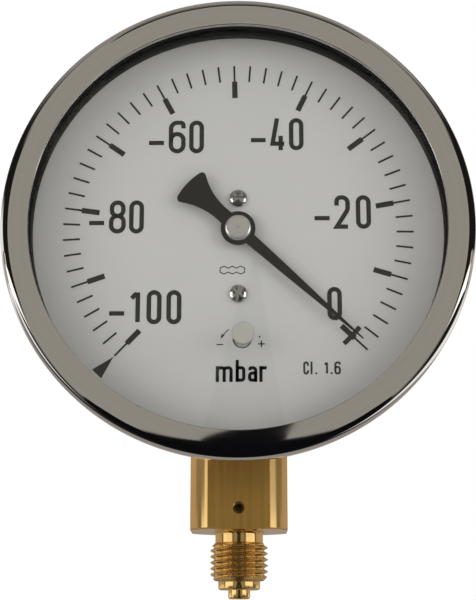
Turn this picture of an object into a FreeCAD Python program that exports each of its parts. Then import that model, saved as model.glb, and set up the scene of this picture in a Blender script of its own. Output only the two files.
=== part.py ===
import FreeCAD, Part
import math
import os

# Round capsule manometer with a bottom stem, dial towards -Y, +Z up, millimetres.
# The origin is on the stem's axis, at the middle of its thread.
# Depths are measured along Y from the dial's front face, and are negative in front of it.
# Heights are measured along Z from the dial's centre.

V = FreeCAD.Vector

# Stem
thread_radius = 6.5785
thread_length = 8.3
thread_chamfer = 0.9
neck_radius = 5.45
neck_length = 2.6
neck_fillet = 0.5
journal_radius = 4.75
journal_length = 2.1
pilot_radius = 2.5
pilot_length = 2.0
edge_chamfer = 0.35
square_width = 22.0
corner_radius = 13.0
collar_radius = 9.0
carrier_front = 5.0
carrier_rear = 4.0
carrier_height = 5.5
port_radius = 1.25
blind_hole_radius = 0.85
blind_hole_sink = 1.42
blind_hole_depth = 4.0
blind_hole_height = 4.7

# Where the gauge stands on the stem
axis_height = 64.5
stem_behind = 4.0
stem_setback = 14.5

# Case
case_step = 5.5
case_corner = 3.5
case_sheet = 0.8
flange_width = 3.1
flange_depth = 1.2
flange_round = 1.0
vent_radius = 6.5
vent_height = 22.0
vent_rim = 1.6
vent_inside = 1.5
vent_outside = 1.2

# Bezel
bezel_radius = 52.0
bezel_sheet = 0.6
bezel_front = 10.4
bezel_edge = 1.8
bead_width = 4.0
bead_step = 1.3
bead_slope = 1.2
face_width = 6.3
lip_depth = 2.7
lip_round = 0.65
face_dip = 0.1
crimp_width = 1.9
crimp_round = 1.1

# Window, gasket and spacer
window_thickness = 3.0
gasket_web = 0.5
gasket_side = 1.0
lip_gap = 0.2
seam_gap = 0.05
plug_x = 0.9
plug_drop = 24.6
plug_radius = 1.8
plug_head = 2.45
plug_head_height = 0.8
plug_bead = 0.3

# Dial
dial_thickness = 0.8
dial_hold = 1.5
dial_gap = 0.3
spindle_hole = 2.2
zero_hole = 2.1
dial_turn = -1.3
post_high = 7.4
post_low = 14.5

# Printed scale
print_height = 0.06
scale_span = 270.0
scale_full = 100
tick_step = 2
tick_inset = 6.5
tick_length = 3.8
tick_width = 0.42
bar_length = 4.0
bar_width = 1.2
band_inset = 0.8
band_span = 8.5
band_width = 1.05
wedge_gap = 0.3
wedge_inset = 1.0
wedge_half = 1.8

# Dial screws and posts
dial_screw_head = 1.95
dial_screw_height = 1.1
dial_screw_shank = 0.9
slot_width = 0.5
slot_depth = 0.5
slot_turn_low = 80.0
head_chamfer_share = 0.2
post_radius = 2.0
post_stub = 1.2
screw_bite = 2.6

# Movement plates
plate_thickness = 1.2
front_plate_depth = 4.5
plate_space = 7.1
plate_rim = 2.3
pillar_radius = 1.9
plate_screw_head = 1.5
plate_screw_height = 0.9
plate_screw_shank = 0.7
plate_slot_turn = 45.0
pillar_places = [(-10.4, -9.6), (7.5, -13.0), (6.5, 9.5)]
running_gap = 0.03
seat_gap = 0.02
end_gap = 0.15

# Gears: the sector drives the pinion ten to one
module_size = 0.25
pinion_teeth = 12
gear_ratio = 10
gear_thickness = 1.0
gear_depth = 8.0
pinion_face = 2.6
sector_teeth = 14
teeth_before = 2
pinion_addendum = 1.0
sector_addendum = 0.6
dedendum = 1.25
pressure_angle = 20.0
tooth_thinning = 0.02
sector_bearing = 135.0
sector_hub = 2.0
sector_rim = 2.6
web_half = 13.0
tail_radius = 3.43
tail_tip = 0.95
pin_radius = 0.45
pin_head = 0.8
pin_head_height = 0.35
arbor_radius = 0.6
pivot_radius = 0.4
hub_collar = 1.4
hub_collar_height = 0.8
collet_radius = 1.3
collet_height = 0.8

# Pointer
pointer_angle = 132.4
pointer_depth = 2.3
pointer_sheet = 0.4
pointer_ring = 3.86
pointer_short = 2.2
blade_half_widths = [(0.0, 1.4), (0.38, 1.0), (0.7, 0.55), (1.0, 0.12)]
tail_reach = 15.4
tail_spread = 18.6
tail_neck = 1.65
tail_hollow = 2.7
tail_hollow_at = 10.8
tail_corner = 0.9
bush_radius = 2.9
bush_cap = 0.8
bush_sleeve = 1.4
bush_length = 1.2
bush_skin = 0.5
bush_dimple = 0.25

# Hairspring
spring_turns = 5
spring_points_a_turn = 8
spring_outer = 5.2
spring_strip = 0.16
spring_height = 0.5
stud_radius = 0.6

# Rocker between capsule and sector
rocker_gap = 1.5
rocker_drop = 12.5
rocker_radius = 1.0
drive_length = 10.0
drive_root = 1.9
drive_sheet = 0.8
drive_gap = 0.3
push_ball = 0.8
push_tip = 0.45
push_sheet = 1.2
link_rod = 0.34
link_eye = 0.95
link_sheet = 0.8
open_clearance = 0.06
ear_sheet = 1.0
ear_left = 12.6
ear_right = 3.4
ear_rim = 1.8

# Bridge and its fixing on the stem
bridge_sheet = 1.5
bridge_top = 13.0
bridge_left = 13.2
bridge_right = 10.2
bridge_foot = 7.5
bridge_waist = 20.0
cutout_half = 2.4
cutout_margin = 3.0
fixing_x = 4.6
fixing_head = 2.2
fixing_head_height = 1.4
fixing_shank = 1.25
fixing_bite = 3.4
fixing_slot_turns = (30.0, 60.0)
spacer_radius = 2.2

# Capsule
capsule_inset = 17.5
capsule_behind = 5.0
capsule_half = 2.4
capsule_sheet = 0.3
capsule_waves = 4
wave_height = 0.8
wave_round = 0.9
capsule_flat = 5.0
capsule_rim = 1.0
capsule_travel = 2.0
boss_radius = 1.3
boss_flange = 3.6
boss_flange_height = 0.6
touch_gap = 0.03
inlet_radius = 4.0
inlet_thread = 2.4
inlet_bore = 0.9
inlet_nut_width = 8.0
inlet_nut_height = 2.5
inlet_end = 0.8
capsule_plate_sheet = 1.6
capsule_plate_rim = 5.0
tube_radius = 1.0
tube_bore = 0.5
tube_offset = 1.2
tube_socket = 1.6

# Stem seal, saddle washer and nut
seal_thickness = 1.0
seal_width = 20.0
washer_thickness = 2.5
nut_height = 3.5
carrier_gap = 0.3

# Zero adjuster
zero_head = 1.7
zero_head_height = 1.1
zero_head_depth = 3.2
zero_shank = 1.0
zero_slot_turn = 20.0
zero_bush_radius = 2.6

# How far cutting shapes reach past a face, and how flat an edge is that counts as lying in one
overshoot = 1.0
flatness = 0.01

# Values worked out from the sizes above
shoulder_z = thread_length / 2 + neck_length
axis_z = shoulder_z + axis_height
half_swing = scale_span / gear_ratio / 2
pinion_pitch = module_size * pinion_teeth / 2
sector_pitch = pinion_pitch * gear_ratio
sector_x = (pinion_pitch + sector_pitch) * math.cos(math.radians(sector_bearing))
sector_height = (pinion_pitch + sector_pitch) * math.sin(math.radians(sector_bearing))
back_plate_depth = front_plate_depth + plate_thickness + plate_space
bridge_depth = back_plate_depth + plate_thickness
bridge_back = bridge_depth + bridge_sheet
rocker_depth = bridge_back + rocker_gap
capsule_depth = rocker_depth + capsule_behind
dial_offset = capsule_depth + stem_behind
dial_y = -dial_offset
case_depth = dial_offset + stem_setback
case_radius = bezel_radius - case_step
capsule_radius = case_radius - capsule_inset
lip_radius = bezel_radius - face_width
ring_bore = lip_radius + lip_gap
dial_radius = ring_bore + dial_hold
tick_outer = lip_radius - tick_inset
tick_inner = tick_outer - tick_length
bar_inner = tick_inner - bar_length
band_radius = tick_inner - band_inset
wedge_outer = lip_radius - wedge_inset
pointer_reach = tick_outer - pointer_short
stem_front_depth = dial_offset - carrier_front
stem_rear_depth = dial_offset + carrier_rear
rocker_height = -rocker_drop
drive_swing = math.degrees(math.asin(tail_radius * math.sin(math.radians(half_swing)) / drive_length))
push_length = capsule_travel / 2 / math.sin(math.radians(drive_swing))
push_tip_depth = rocker_depth - capsule_travel / 2
drive_pin_depth = rocker_depth - drive_length * math.cos(math.radians(drive_swing))
drive_pin_height = rocker_height - drive_length * math.sin(math.radians(drive_swing))
tail_angle = 180.0 + half_swing
link_x = sector_x + tail_radius * math.cos(math.radians(tail_angle))
link_height = sector_height + tail_radius * math.sin(math.radians(tail_angle))
arm_x = link_x - link_sheet / 2 - drive_gap - drive_sheet
lip_end = bezel_front - face_dip - lip_depth
window_front = -(lip_end - gasket_web)
window_back = window_front + window_thickness
skirt_radius = bezel_radius - bead_step
ring_radius = case_radius + flange_width
washer_height = -(case_radius - case_sheet) + washer_thickness
nut_top = washer_height + nut_height
carrier_base = nut_top + carrier_gap
carrier_top = carrier_base + carrier_height
fixing_height = (carrier_base + carrier_top) / 2
collet_depth = front_plate_depth + plate_thickness + end_gap
spring_inner = collet_radius + running_gap + spring_strip / 2


def gauge_point(x, depth, height):
    """A point given from the dial's centre."""
    return V(x, dial_y + depth, axis_z + height)


def rod(radius, depth, length, x=0.0, height=0.0):
    """A cylinder along the gauge's axis."""
    return Part.makeCylinder(radius, length, gauge_point(x, depth, height), V(0, 1, 0))


def drill(radius, depth, length, x=0.0, height=0.0):
    """A hole along the gauge's axis through a wall of this depth and length."""
    return rod(radius, depth - overshoot, length + 2 * overshoot, x, height)


def bar(radius, x, length, depth, height):
    """A cylinder along X."""
    return Part.makeCylinder(radius, length, gauge_point(x, depth, height), V(1, 0, 0))


def polar(radius, degrees):
    """A point at a radius and an angle counted counterclockwise from +X, seen from the front."""
    return radius * math.cos(math.radians(degrees)), radius * math.sin(math.radians(degrees))


def closed_face(points):
    return Part.Face(Part.makePolygon(list(points) + [points[0]]))


def rounded_path(points, radii):
    """An open path through the points, with an arc at each inner corner."""
    edges = []
    start = points[0]
    for before, corner, after, radius in zip(points, points[1:], points[2:], radii):
        inward = (before - corner).normalize()
        outward = (after - corner).normalize()
        half = inward.getAngle(outward) / 2
        reach = radius / math.tan(half)
        first = corner + inward * reach
        last = corner + outward * reach
        centre = corner + (inward + outward).normalize() * (radius / math.sin(half))
        middle = centre + (corner - centre).normalize() * radius
        edges.append(Part.makeLine(start, first))
        edges.append(Part.Arc(first, middle, last).toShape())
        start = last
    edges.append(Part.makeLine(start, points[-1]))
    return Part.Wire(edges)


def spin(face):
    """Turns a face drawn as (radius, depth) about the gauge's axis."""
    solid = face.revolve(V(0, 0, 0), V(0, 1, 0), 360)
    solid.translate(gauge_point(0, 0, 0))
    return solid


def turned(profile):
    return spin(closed_face([V(radius, depth, 0) for radius, depth in profile]))


def spun_sheet(profile, radii, thickness):
    """Sheet pressed to a profile of (radius, depth) points. It lies to the right of the path."""
    path = rounded_path([V(radius, depth, 0) for radius, depth in profile], radii)
    return spin(path.makeOffset2D(thickness, join=0, fill=True, openResult=True).Faces[0])


def turned_stem(profile):
    """A solid turned about the stem's axis from (radius, z) points."""
    face = closed_face([V(radius, 0, z) for radius, z in profile])
    return face.revolve(V(0, 0, 0), V(0, 0, 1), 360)


def plate(points, depth, thickness):
    """A flat plate parallel to the dial from (x, height) points."""
    return closed_face([gauge_point(x, depth, height) for x, height in points]).extrude(V(0, thickness, 0))


def hull(circles, depth, thickness):
    """A plate round a convex set of circles (x, height, radius), given counterclockwise."""
    corners = []
    following = circles[1:] + circles[:1]
    for (x, height, radius), (x2, height2, radius2) in zip(circles, following):
        along = math.atan2(height2 - height, x2 - x)
        tilt = math.asin((radius - radius2) / math.hypot(x2 - x, height2 - height))
        normal = math.degrees(along + tilt) - 90
        for cx, cz, r in ((x, height, radius), (x2, height2, radius2)):
            dx, dz = polar(r, normal)
            corners.append((cx + dx, cz + dz))
    solid = plate(corners, depth, thickness)
    discs = [rod(radius, depth, thickness, x, height) for x, height, radius in circles]
    return solid.fuse(discs).removeSplitter()


def ring_sector(inner, outer, depth, thickness, middle, half, x=0.0, height=0.0):
    """A stretch of a ring, with its middle and half angle in degrees as polar counts them."""
    ring = rod(outer, depth, thickness, x, height).cut(rod(inner, depth, thickness, x, height))
    corners = [(0, 0), polar(2 * outer, middle - half), polar(2 * outer, middle + half)]
    return ring.common(plate([(x + dx, height + dz) for dx, dz in corners], depth, thickness))


def side_lever(length, root, tip, sheet, x, degrees):
    """A tapered arm on the rocker shaft. Zero degrees points to the front and 90 up."""
    forward, up = polar(1, degrees)

    def at(along, across):
        depth = rocker_depth - along * forward + across * up
        return gauge_point(x, depth, rocker_height + along * up + across * forward)

    solid = closed_face([at(0, -root), at(length, -tip), at(length, tip), at(0, root)]).extrude(V(sheet, 0, 0))
    tip_disc = Part.makeCylinder(tip, sheet, at(length, 0), V(1, 0, 0))
    solid = solid.fuse([bar(root, x, sheet, rocker_depth, rocker_height), tip_disc]).removeSplitter()
    return solid.cut(bar(rocker_radius, x, sheet, rocker_depth, rocker_height))


def slotted_screw(x, height, seat_depth, head, head_height, shank, length, turn=0.0):
    """A slotted screw that is driven from the front. Its head sits at seat_depth."""
    top = seat_depth - head_height
    chamfer = head_height * head_chamfer_share
    solid = rod(head, top + chamfer, head_height - chamfer, x, height)
    cone = Part.makeCone(head - chamfer, head, chamfer, gauge_point(x, top, height), V(0, 1, 0))
    solid = solid.fuse([cone, rod(shank, seat_depth, length, x, height)]).removeSplitter()
    low = V(-head - overshoot, 0, -slot_width / 2)
    groove = Part.makeBox(2 * (head + overshoot), slot_depth, slot_width, low)
    groove.rotate(V(0, 0, 0), V(0, -1, 0), turn)
    groove.translate(gauge_point(x, top, height))
    return solid.cut(groove)


def turned_back(solid, depth):
    """The same piece facing the back, with the plane at depth kept."""
    return solid.mirror(gauge_point(0, depth, 0), V(0, 1, 0))


def hexagon(across_flats, height):
    """A hexagonal prism along Z, with flats across Y."""
    radius = across_flats / math.sqrt(3)
    corners = [polar(radius, 60 * k) for k in range(6)]
    return closed_face([V(x, y, 0) for x, y in corners]).extrude(V(0, 0, height))


def make_stem():
    square_top = axis_z - case_radius - seal_thickness
    thread_bottom = -thread_length / 2
    journal_end = thread_bottom - journal_length
    pilot_end = journal_end - pilot_length
    top = axis_z + carrier_top
    body = turned_stem([
        (0, pilot_end),
        (pilot_radius - edge_chamfer, pilot_end),
        (pilot_radius, pilot_end + edge_chamfer),
        (pilot_radius, journal_end),
        (journal_radius - edge_chamfer, journal_end),
        (journal_radius, journal_end + edge_chamfer),
        (journal_radius, thread_bottom),
        (thread_radius - thread_chamfer, thread_bottom),
        (thread_radius, thread_bottom + thread_chamfer),
        (thread_radius, -thread_bottom - thread_chamfer),
        (thread_radius - thread_chamfer, -thread_bottom),
        (neck_radius, -thread_bottom),
        (neck_radius, shoulder_z - neck_fillet),
        (neck_radius + neck_fillet, shoulder_z),
        (collar_radius, shoulder_z),
        (collar_radius, top - edge_chamfer),
        (collar_radius - edge_chamfer, top),
        (0, top),
    ])
    half = square_width / 2
    square = Part.makeBox(square_width, square_width, square_top - shoulder_z, V(-half, -half, shoulder_z))
    round_bar = turned_stem([
        (0, shoulder_z),
        (corner_radius - edge_chamfer, shoulder_z),
        (corner_radius, shoulder_z + edge_chamfer),
        (corner_radius, square_top - edge_chamfer),
        (corner_radius - edge_chamfer, square_top),
        (0, square_top),
    ])
    body = body.fuse(square.common(round_bar))
    base = axis_z + carrier_base
    wide = 2 * collar_radius
    front = Part.makeBox(wide, wide, wide, V(-collar_radius, -carrier_front - wide, base))
    rear = Part.makeBox(wide, wide, wide, V(-collar_radius, carrier_rear, base))
    port_length = top - 2 * tube_socket - pilot_end + overshoot
    port = Part.makeCylinder(port_radius, port_length, V(0, 0, pilot_end - overshoot))
    duct = Part.makeCylinder(tube_bore, 3 * tube_socket, V(0, tube_offset, top - 3 * tube_socket))
    socket = Part.makeCylinder(tube_radius + seat_gap, tube_socket + overshoot,
                               V(0, tube_offset, top - tube_socket))
    hole_z = shoulder_z + blind_hole_height
    hole = Part.makeCylinder(blind_hole_radius, blind_hole_depth, V(0, -half, hole_z), V(0, 1, 0))
    sink_depth = blind_hole_sink - blind_hole_radius
    sink = Part.makeCone(blind_hole_sink, blind_hole_radius, sink_depth, V(0, -half, hole_z), V(0, 1, 0))
    body = body.cut([front, rear, port, duct, socket, hole, sink])
    drills = [
        drill(fixing_shank + seat_gap, stem_front_depth, carrier_front + carrier_rear, x, fixing_height)
        for x in (-fixing_x, fixing_x)
    ]
    return body.cut(drills).removeSplitter()


def make_case():
    """Cup with an outward flange, its hole for the stem and its vent hole."""
    flange_back = flange_depth + case_sheet
    solid = spun_sheet(
        [(0, case_depth), (case_radius, case_depth), (case_radius, flange_back), (ring_radius, flange_back)],
        [case_corner, flange_round],
        case_sheet,
    )
    hole_base = V(0, 0, axis_z - case_radius - case_corner)
    stem_hole = Part.makeCylinder(collar_radius + seam_gap, 2 * case_corner, hole_base)
    vent_hole = drill(vent_radius, case_depth - case_sheet, case_sheet, 0, vent_height)
    return solid.cut([stem_hole, vent_hole])


def make_bezel():
    """Rolled ring: turned-in lip, wide face, round edge, bead, skirt and crimp behind the flange."""
    face = -bezel_front
    bead_back = face + bead_width
    crimp = flange_depth + case_sheet + seam_gap + bezel_sheet
    profile = [
        (lip_radius, -lip_end),
        (lip_radius, face + face_dip),
        (bezel_radius, face),
        (bezel_radius, bead_back),
        (skirt_radius, bead_back + bead_slope),
        (skirt_radius, crimp),
        (skirt_radius - crimp_width, crimp),
    ]
    return spun_sheet(profile, [lip_round, bezel_edge, crimp_round, crimp_round, crimp_round], -bezel_sheet)


def make_window():
    pane = rod(ring_radius - gasket_side - seam_gap, window_front, window_thickness)
    return pane.cut(drill(plug_radius, window_front, window_thickness, plug_x, -plug_drop))


def make_gasket():
    """A channel round the pane's edge."""
    return turned([
        (ring_bore, window_front - gasket_web),
        (ring_radius, window_front - gasket_web),
        (ring_radius, window_back + gasket_web),
        (ring_bore, window_back + gasket_web),
        (ring_bore, window_back),
        (ring_radius - gasket_side, window_back),
        (ring_radius - gasket_side, window_front),
        (ring_bore, window_front),
    ])


def make_spacer():
    """Stands on the case's flange and leaves the dial's edge free."""
    front = window_back + gasket_web
    inner = dial_radius + dial_gap
    return turned([
        (ring_bore, front),
        (ring_radius, front),
        (ring_radius, flange_depth),
        (inner, flange_depth),
        (inner, -dial_gap),
        (ring_bore, -dial_gap),
    ])


def make_zero_plug():
    pin = rod(plug_radius - seat_gap, window_front, window_thickness + plug_head_height, plug_x, -plug_drop)
    head = rod(plug_head, window_front - plug_head_height, plug_head_height, plug_x, -plug_drop)
    rims = [edge for edge in head.Edges if edge.Closed and edge.BoundBox.YMax < head.BoundBox.YMin + flatness]
    head = head.makeFillet(plug_head_height / 3, rims)
    bead = rod(plug_radius + plug_bead, window_back, plug_bead, plug_x, -plug_drop)
    return pin.fuse([head, bead]).removeSplitter()


def make_dial():
    solid = rod(dial_radius, 0, dial_thickness)
    holes = [drill(spindle_hole, 0, dial_thickness), drill(zero_hole, 0, dial_thickness, plug_x, -plug_drop)]
    for height in (post_high, -post_low):
        holes.append(drill(dial_screw_shank + running_gap, 0, dial_thickness, 0, height))
    return solid.cut(holes)


def mark(inner, outer, width, degrees):
    """A printed stroke along a radius, at an angle clockwise from the top."""
    solid = Part.makeBox(width, print_height, outer - inner, V(-width / 2, 0, inner))
    solid.rotate(V(0, 0, 0), V(0, 1, 0), degrees)
    solid.translate(gauge_point(0, -print_height, 0))
    return solid


def make_scale_marks():
    """Ticks, bars at every tenth value, the band at zero and the wedge at full vacuum."""
    marks = []
    for value in range(0, scale_full + 1, tick_step):
        degrees = scale_span * (0.5 - value / scale_full) + dial_turn
        stroke = mark(tick_inner, tick_outer, tick_width, degrees)
        if value % (5 * tick_step) == 0:
            stroke = stroke.fuse(mark(bar_inner, tick_inner, bar_width, degrees))
        if value == 0:
            half_width = band_width / 2
            band = ring_sector(band_radius - half_width, band_radius + half_width, -print_height, print_height,
                               90 - degrees, band_span / 2)
            stroke = stroke.fuse(band)
        marks.append(stroke)
    full = -scale_span / 2 + dial_turn
    wedge = [polar(tick_outer + wedge_gap, 90 - full)]
    wedge += [polar(wedge_outer, 90 - full + turn) for turn in (-wedge_half, wedge_half)]
    marks.append(plate(wedge, -print_height, print_height))
    return Part.makeCompound(marks)


def make_dial_screws():
    length = dial_thickness + screw_bite
    places = ((post_high, 0.0), (-post_low, slot_turn_low))
    return Part.makeCompound([
        slotted_screw(0, height, 0, dial_screw_head, dial_screw_height, dial_screw_shank, length, turn)
        for height, turn in places
    ])


def make_dial_posts():
    posts = []
    for height in (post_high, -post_low):
        post = rod(post_radius, dial_thickness, front_plate_depth - dial_thickness, 0, height)
        post = post.fuse(rod(post_stub, front_plate_depth, plate_thickness, 0, height))
        tapped = rod(dial_screw_shank + seat_gap, 0, dial_thickness + screw_bite + end_gap, 0, height)
        posts.append(post.cut(tapped))
    return Part.makeCompound(posts)


def plate_outline(depth, thickness):
    """Both movement plates: round the sector's pivot, the pillars and the lower dial post."""
    left, low, right = pillar_places
    circles = [(sector_x, sector_height, pillar_radius)]
    circles.append((*left, plate_rim))
    circles.append((0, -post_low, plate_rim))
    circles += [(*low, plate_rim), (*right, plate_rim)]
    return hull(circles, depth, thickness)


def screw_holes(depth, length):
    return [drill(plate_screw_shank + seat_gap, depth, length, x, height) for x, height in pillar_places]


def make_front_plate():
    solid = plate_outline(front_plate_depth, plate_thickness)
    holes = screw_holes(front_plate_depth, plate_thickness)
    holes.append(drill(arbor_radius + running_gap, front_plate_depth, plate_thickness))
    holes.append(drill(pivot_radius + running_gap, front_plate_depth, plate_thickness, sector_x, sector_height))
    for height in (post_high, -post_low):
        holes.append(drill(post_stub + seat_gap, front_plate_depth, plate_thickness, 0, height))
    return solid.cut(holes)


def make_back_plate():
    solid = plate_outline(back_plate_depth, plate_thickness)
    holes = screw_holes(back_plate_depth, plate_thickness)
    holes.append(drill(pivot_radius + running_gap, back_plate_depth, plate_thickness))
    holes.append(drill(pivot_radius + running_gap, back_plate_depth, plate_thickness, sector_x, sector_height))
    return solid.cut(holes)


def make_pillars():
    start = front_plate_depth + plate_thickness
    return Part.makeCompound([
        rod(pillar_radius, start, plate_space, x, height).cut(screw_holes(start, plate_space))
        for x, height in pillar_places
    ])


def make_plate_screws():
    """Three screws from the front, and three through the bridge from the back."""
    screws = []
    for x, height in pillar_places:
        front = slotted_screw(x, height, front_plate_depth, plate_screw_head, plate_screw_height,
                              plate_screw_shank, plate_thickness + screw_bite)
        back = slotted_screw(x, height, bridge_back, plate_screw_head, plate_screw_height,
                             plate_screw_shank, bridge_sheet + plate_thickness + screw_bite, plate_slot_turn)
        screws += [front, turned_back(back, bridge_back)]
    return Part.makeCompound(screws)


def tooth_half_angle(radius, pitch_radius):
    """Half the angle that a tooth covers at a radius, on an involute of the pitch circle."""
    base = pitch_radius * math.cos(math.radians(pressure_angle))
    pressed = math.radians(pressure_angle)
    half = (math.pi * module_size / 2 - tooth_thinning) / (2 * pitch_radius)
    at_radius = math.acos(min(1.0, base / radius))
    return math.degrees(half + math.tan(pressed) - pressed - math.tan(at_radius) + at_radius)


def tooth_edges(pitch_radius, addendum, x, height, depth, angles):
    """The outline over teeth centred at the angles, from root to root, counterclockwise."""
    tip = pitch_radius + addendum * module_size
    root = pitch_radius - dedendum * module_size
    base = max(root, pitch_radius * math.cos(math.radians(pressure_angle)))

    def at(radius, degrees):
        dx, dz = polar(radius, degrees)
        return gauge_point(x + dx, depth, height + dz)

    def flank(centre, side):
        radii = [base, (base + tip) / 2, tip]
        return [at(r, centre + side * tooth_half_angle(r, pitch_radius)) for r in radii]

    edges = []
    previous = None
    for centre in angles:
        root_half = tooth_half_angle(base, pitch_radius)
        start = at(root, centre - root_half)
        if previous is not None:
            middle = at(root, (previous[1] + centre - root_half) / 2)
            edges.append(Part.Arc(previous[0], middle, start).toShape())
        rising = flank(centre, -1)
        falling = flank(centre, 1)[::-1]
        if base > root:
            edges.append(Part.makeLine(start, rising[0]))
        edges.append(Part.Arc(*rising).toShape())
        edges.append(Part.Arc(rising[2], at(tip, centre), falling[0]).toShape())
        edges.append(Part.Arc(*falling).toShape())
        end = at(root, centre + root_half)
        if base > root:
            edges.append(Part.makeLine(falling[2], end))
        previous = (end, centre + root_half)
    return edges


def make_pinion_arbor():
    """Spindle with pinion: the pointer's end passes the front plate, a pivot runs in the back plate."""
    face_start = gear_depth + gear_thickness / 2 - pinion_face / 2
    pitch = 360.0 / pinion_teeth
    angles = [sector_bearing + pitch / 2 + pitch * k for k in range(pinion_teeth)]
    edges = tooth_edges(pinion_pitch, pinion_addendum, 0, 0, face_start, angles)
    root = pinion_pitch - dedendum * module_size
    half = tooth_half_angle(pinion_pitch * math.cos(math.radians(pressure_angle)), pinion_pitch)
    ends = [polar(root, angle) for angle in (angles[-1] + half, sector_bearing, angles[0] - half)]
    points = [gauge_point(x, face_start, height) for x, height in ends]
    edges.append(Part.Arc(*points).toShape())
    teeth = Part.Face(Part.Wire(Part.__sortEdges__(edges))).extrude(V(0, pinion_face, 0))
    front = -(pointer_depth + bush_cap - bush_skin)
    shaft = rod(arbor_radius, front, back_plate_depth - end_gap - front)
    pivot = rod(pivot_radius, back_plate_depth - end_gap, plate_thickness + end_gap)
    return teeth.fuse([shaft, pivot]).removeSplitter()


def make_sector_gear():
    """Toothed sector with a cut-out web, a hub and a tail for the link."""
    step = 360.0 / (pinion_teeth * gear_ratio)
    towards = sector_bearing - 180.0
    angles = [towards + step * (k - teeth_before) for k in range(sector_teeth)]
    edges = tooth_edges(sector_pitch, sector_addendum, sector_x, sector_height, gear_depth, angles)
    first = edges[0].Vertexes[0].Point
    last = edges[-1].Vertexes[-1].Point
    middle = (angles[0] + angles[-1]) / 2
    corners = [polar(sector_hub, middle + 90), polar(sector_hub, middle - 90)]
    hub = [gauge_point(sector_x + x, gear_depth, sector_height + height) for x, height in corners]
    edges += [Part.makeLine(last, hub[0]), Part.makeLine(hub[0], hub[1]), Part.makeLine(hub[1], first)]
    solid = Part.Face(Part.Wire(Part.__sortEdges__(edges))).extrude(V(0, gear_thickness, 0))
    solid = solid.fuse(rod(sector_hub, gear_depth, gear_thickness, sector_x, sector_height))
    web_outer = sector_pitch - dedendum * module_size - sector_rim
    web = ring_sector(sector_hub + sector_rim, web_outer, gear_depth, gear_thickness, middle, web_half,
                      sector_x, sector_height)
    solid = solid.cut(web)
    dx, dz = polar(tail_radius, tail_angle)
    tail = hull([(sector_x, sector_height, sector_hub), (sector_x + dx, sector_height + dz, tail_tip)],
                gear_depth, gear_thickness)
    holes = [rod(arbor_radius, gear_depth, gear_thickness, sector_x, sector_height)]
    holes.append(rod(pin_radius, gear_depth, gear_thickness, link_x, link_height))
    return solid.fuse(tail).cut(holes).removeSplitter()


def make_sector_arbor():
    """Arbor with a collar behind the sector and a pivot in each plate."""
    inner = front_plate_depth + plate_thickness + end_gap
    length = plate_space - 2 * end_gap
    shaft = rod(arbor_radius, inner, length, sector_x, sector_height)
    pivots = rod(pivot_radius, front_plate_depth, 2 * plate_thickness + plate_space, sector_x, sector_height)
    collar = rod(hub_collar, gear_depth + gear_thickness, hub_collar_height, sector_x, sector_height)
    return shaft.fuse([pivots, collar]).removeSplitter()


def make_sector_pin():
    """Pin in the sector's tail, with a head in front of the link's eye."""
    head_depth = drive_pin_depth - link_sheet / 2 - end_gap - pin_head_height
    pin = rod(pin_radius, head_depth, gear_depth + gear_thickness - head_depth, link_x, link_height)
    return pin.fuse(rod(pin_head, head_depth, pin_head_height, link_x, link_height)).removeSplitter()


def make_link():
    """Rod with an eye at each end, one across the other. The lower pivot is the open one."""
    half = link_sheet / 2
    top = rod(link_eye, drive_pin_depth - half, link_sheet, link_x, link_height)
    foot = bar(link_eye, link_x - half, link_sheet, drive_pin_depth, drive_pin_height)
    reach = (link_eye + pin_radius) / 2
    length = link_height - drive_pin_height - 2 * reach
    start = gauge_point(link_x, drive_pin_depth, drive_pin_height + reach)
    solid = top.fuse([foot, Part.makeCylinder(link_rod, length, start)])
    top_hole = rod(pin_radius + running_gap, drive_pin_depth - link_sheet, 2 * link_sheet, link_x, link_height)
    foot_hole = bar(pin_radius + open_clearance, link_x - link_sheet, 2 * link_sheet,
                    drive_pin_depth, drive_pin_height)
    return solid.cut([top_hole, foot_hole]).removeSplitter()


def make_rocker_shaft():
    end = ear_right + ear_sheet + end_gap
    return bar(rocker_radius, arm_x, end - arm_x, rocker_depth, rocker_height)


def make_drive_arm():
    solid = side_lever(drive_length, drive_root, link_eye, drive_sheet, arm_x, -drive_swing)
    start = arm_x - overshoot
    return solid.cut(bar(pin_radius, start, drive_sheet + 2 * overshoot, drive_pin_depth, drive_pin_height))


def make_rocker_pin():
    length = link_x + link_sheet / 2 + drive_gap - arm_x
    return bar(pin_radius, arm_x, length, drive_pin_depth, drive_pin_height)


def make_push_arm():
    """Arm up to the capsule's centre, with a ball that rests on the boss."""
    solid = side_lever(push_length, drive_root, push_tip, push_sheet, -push_sheet / 2, 90 - drive_swing)
    height = rocker_height + push_length * math.cos(math.radians(drive_swing))
    return solid.fuse(Part.makeSphere(push_ball, gauge_point(0, push_tip_depth, height))).removeSplitter()


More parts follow.
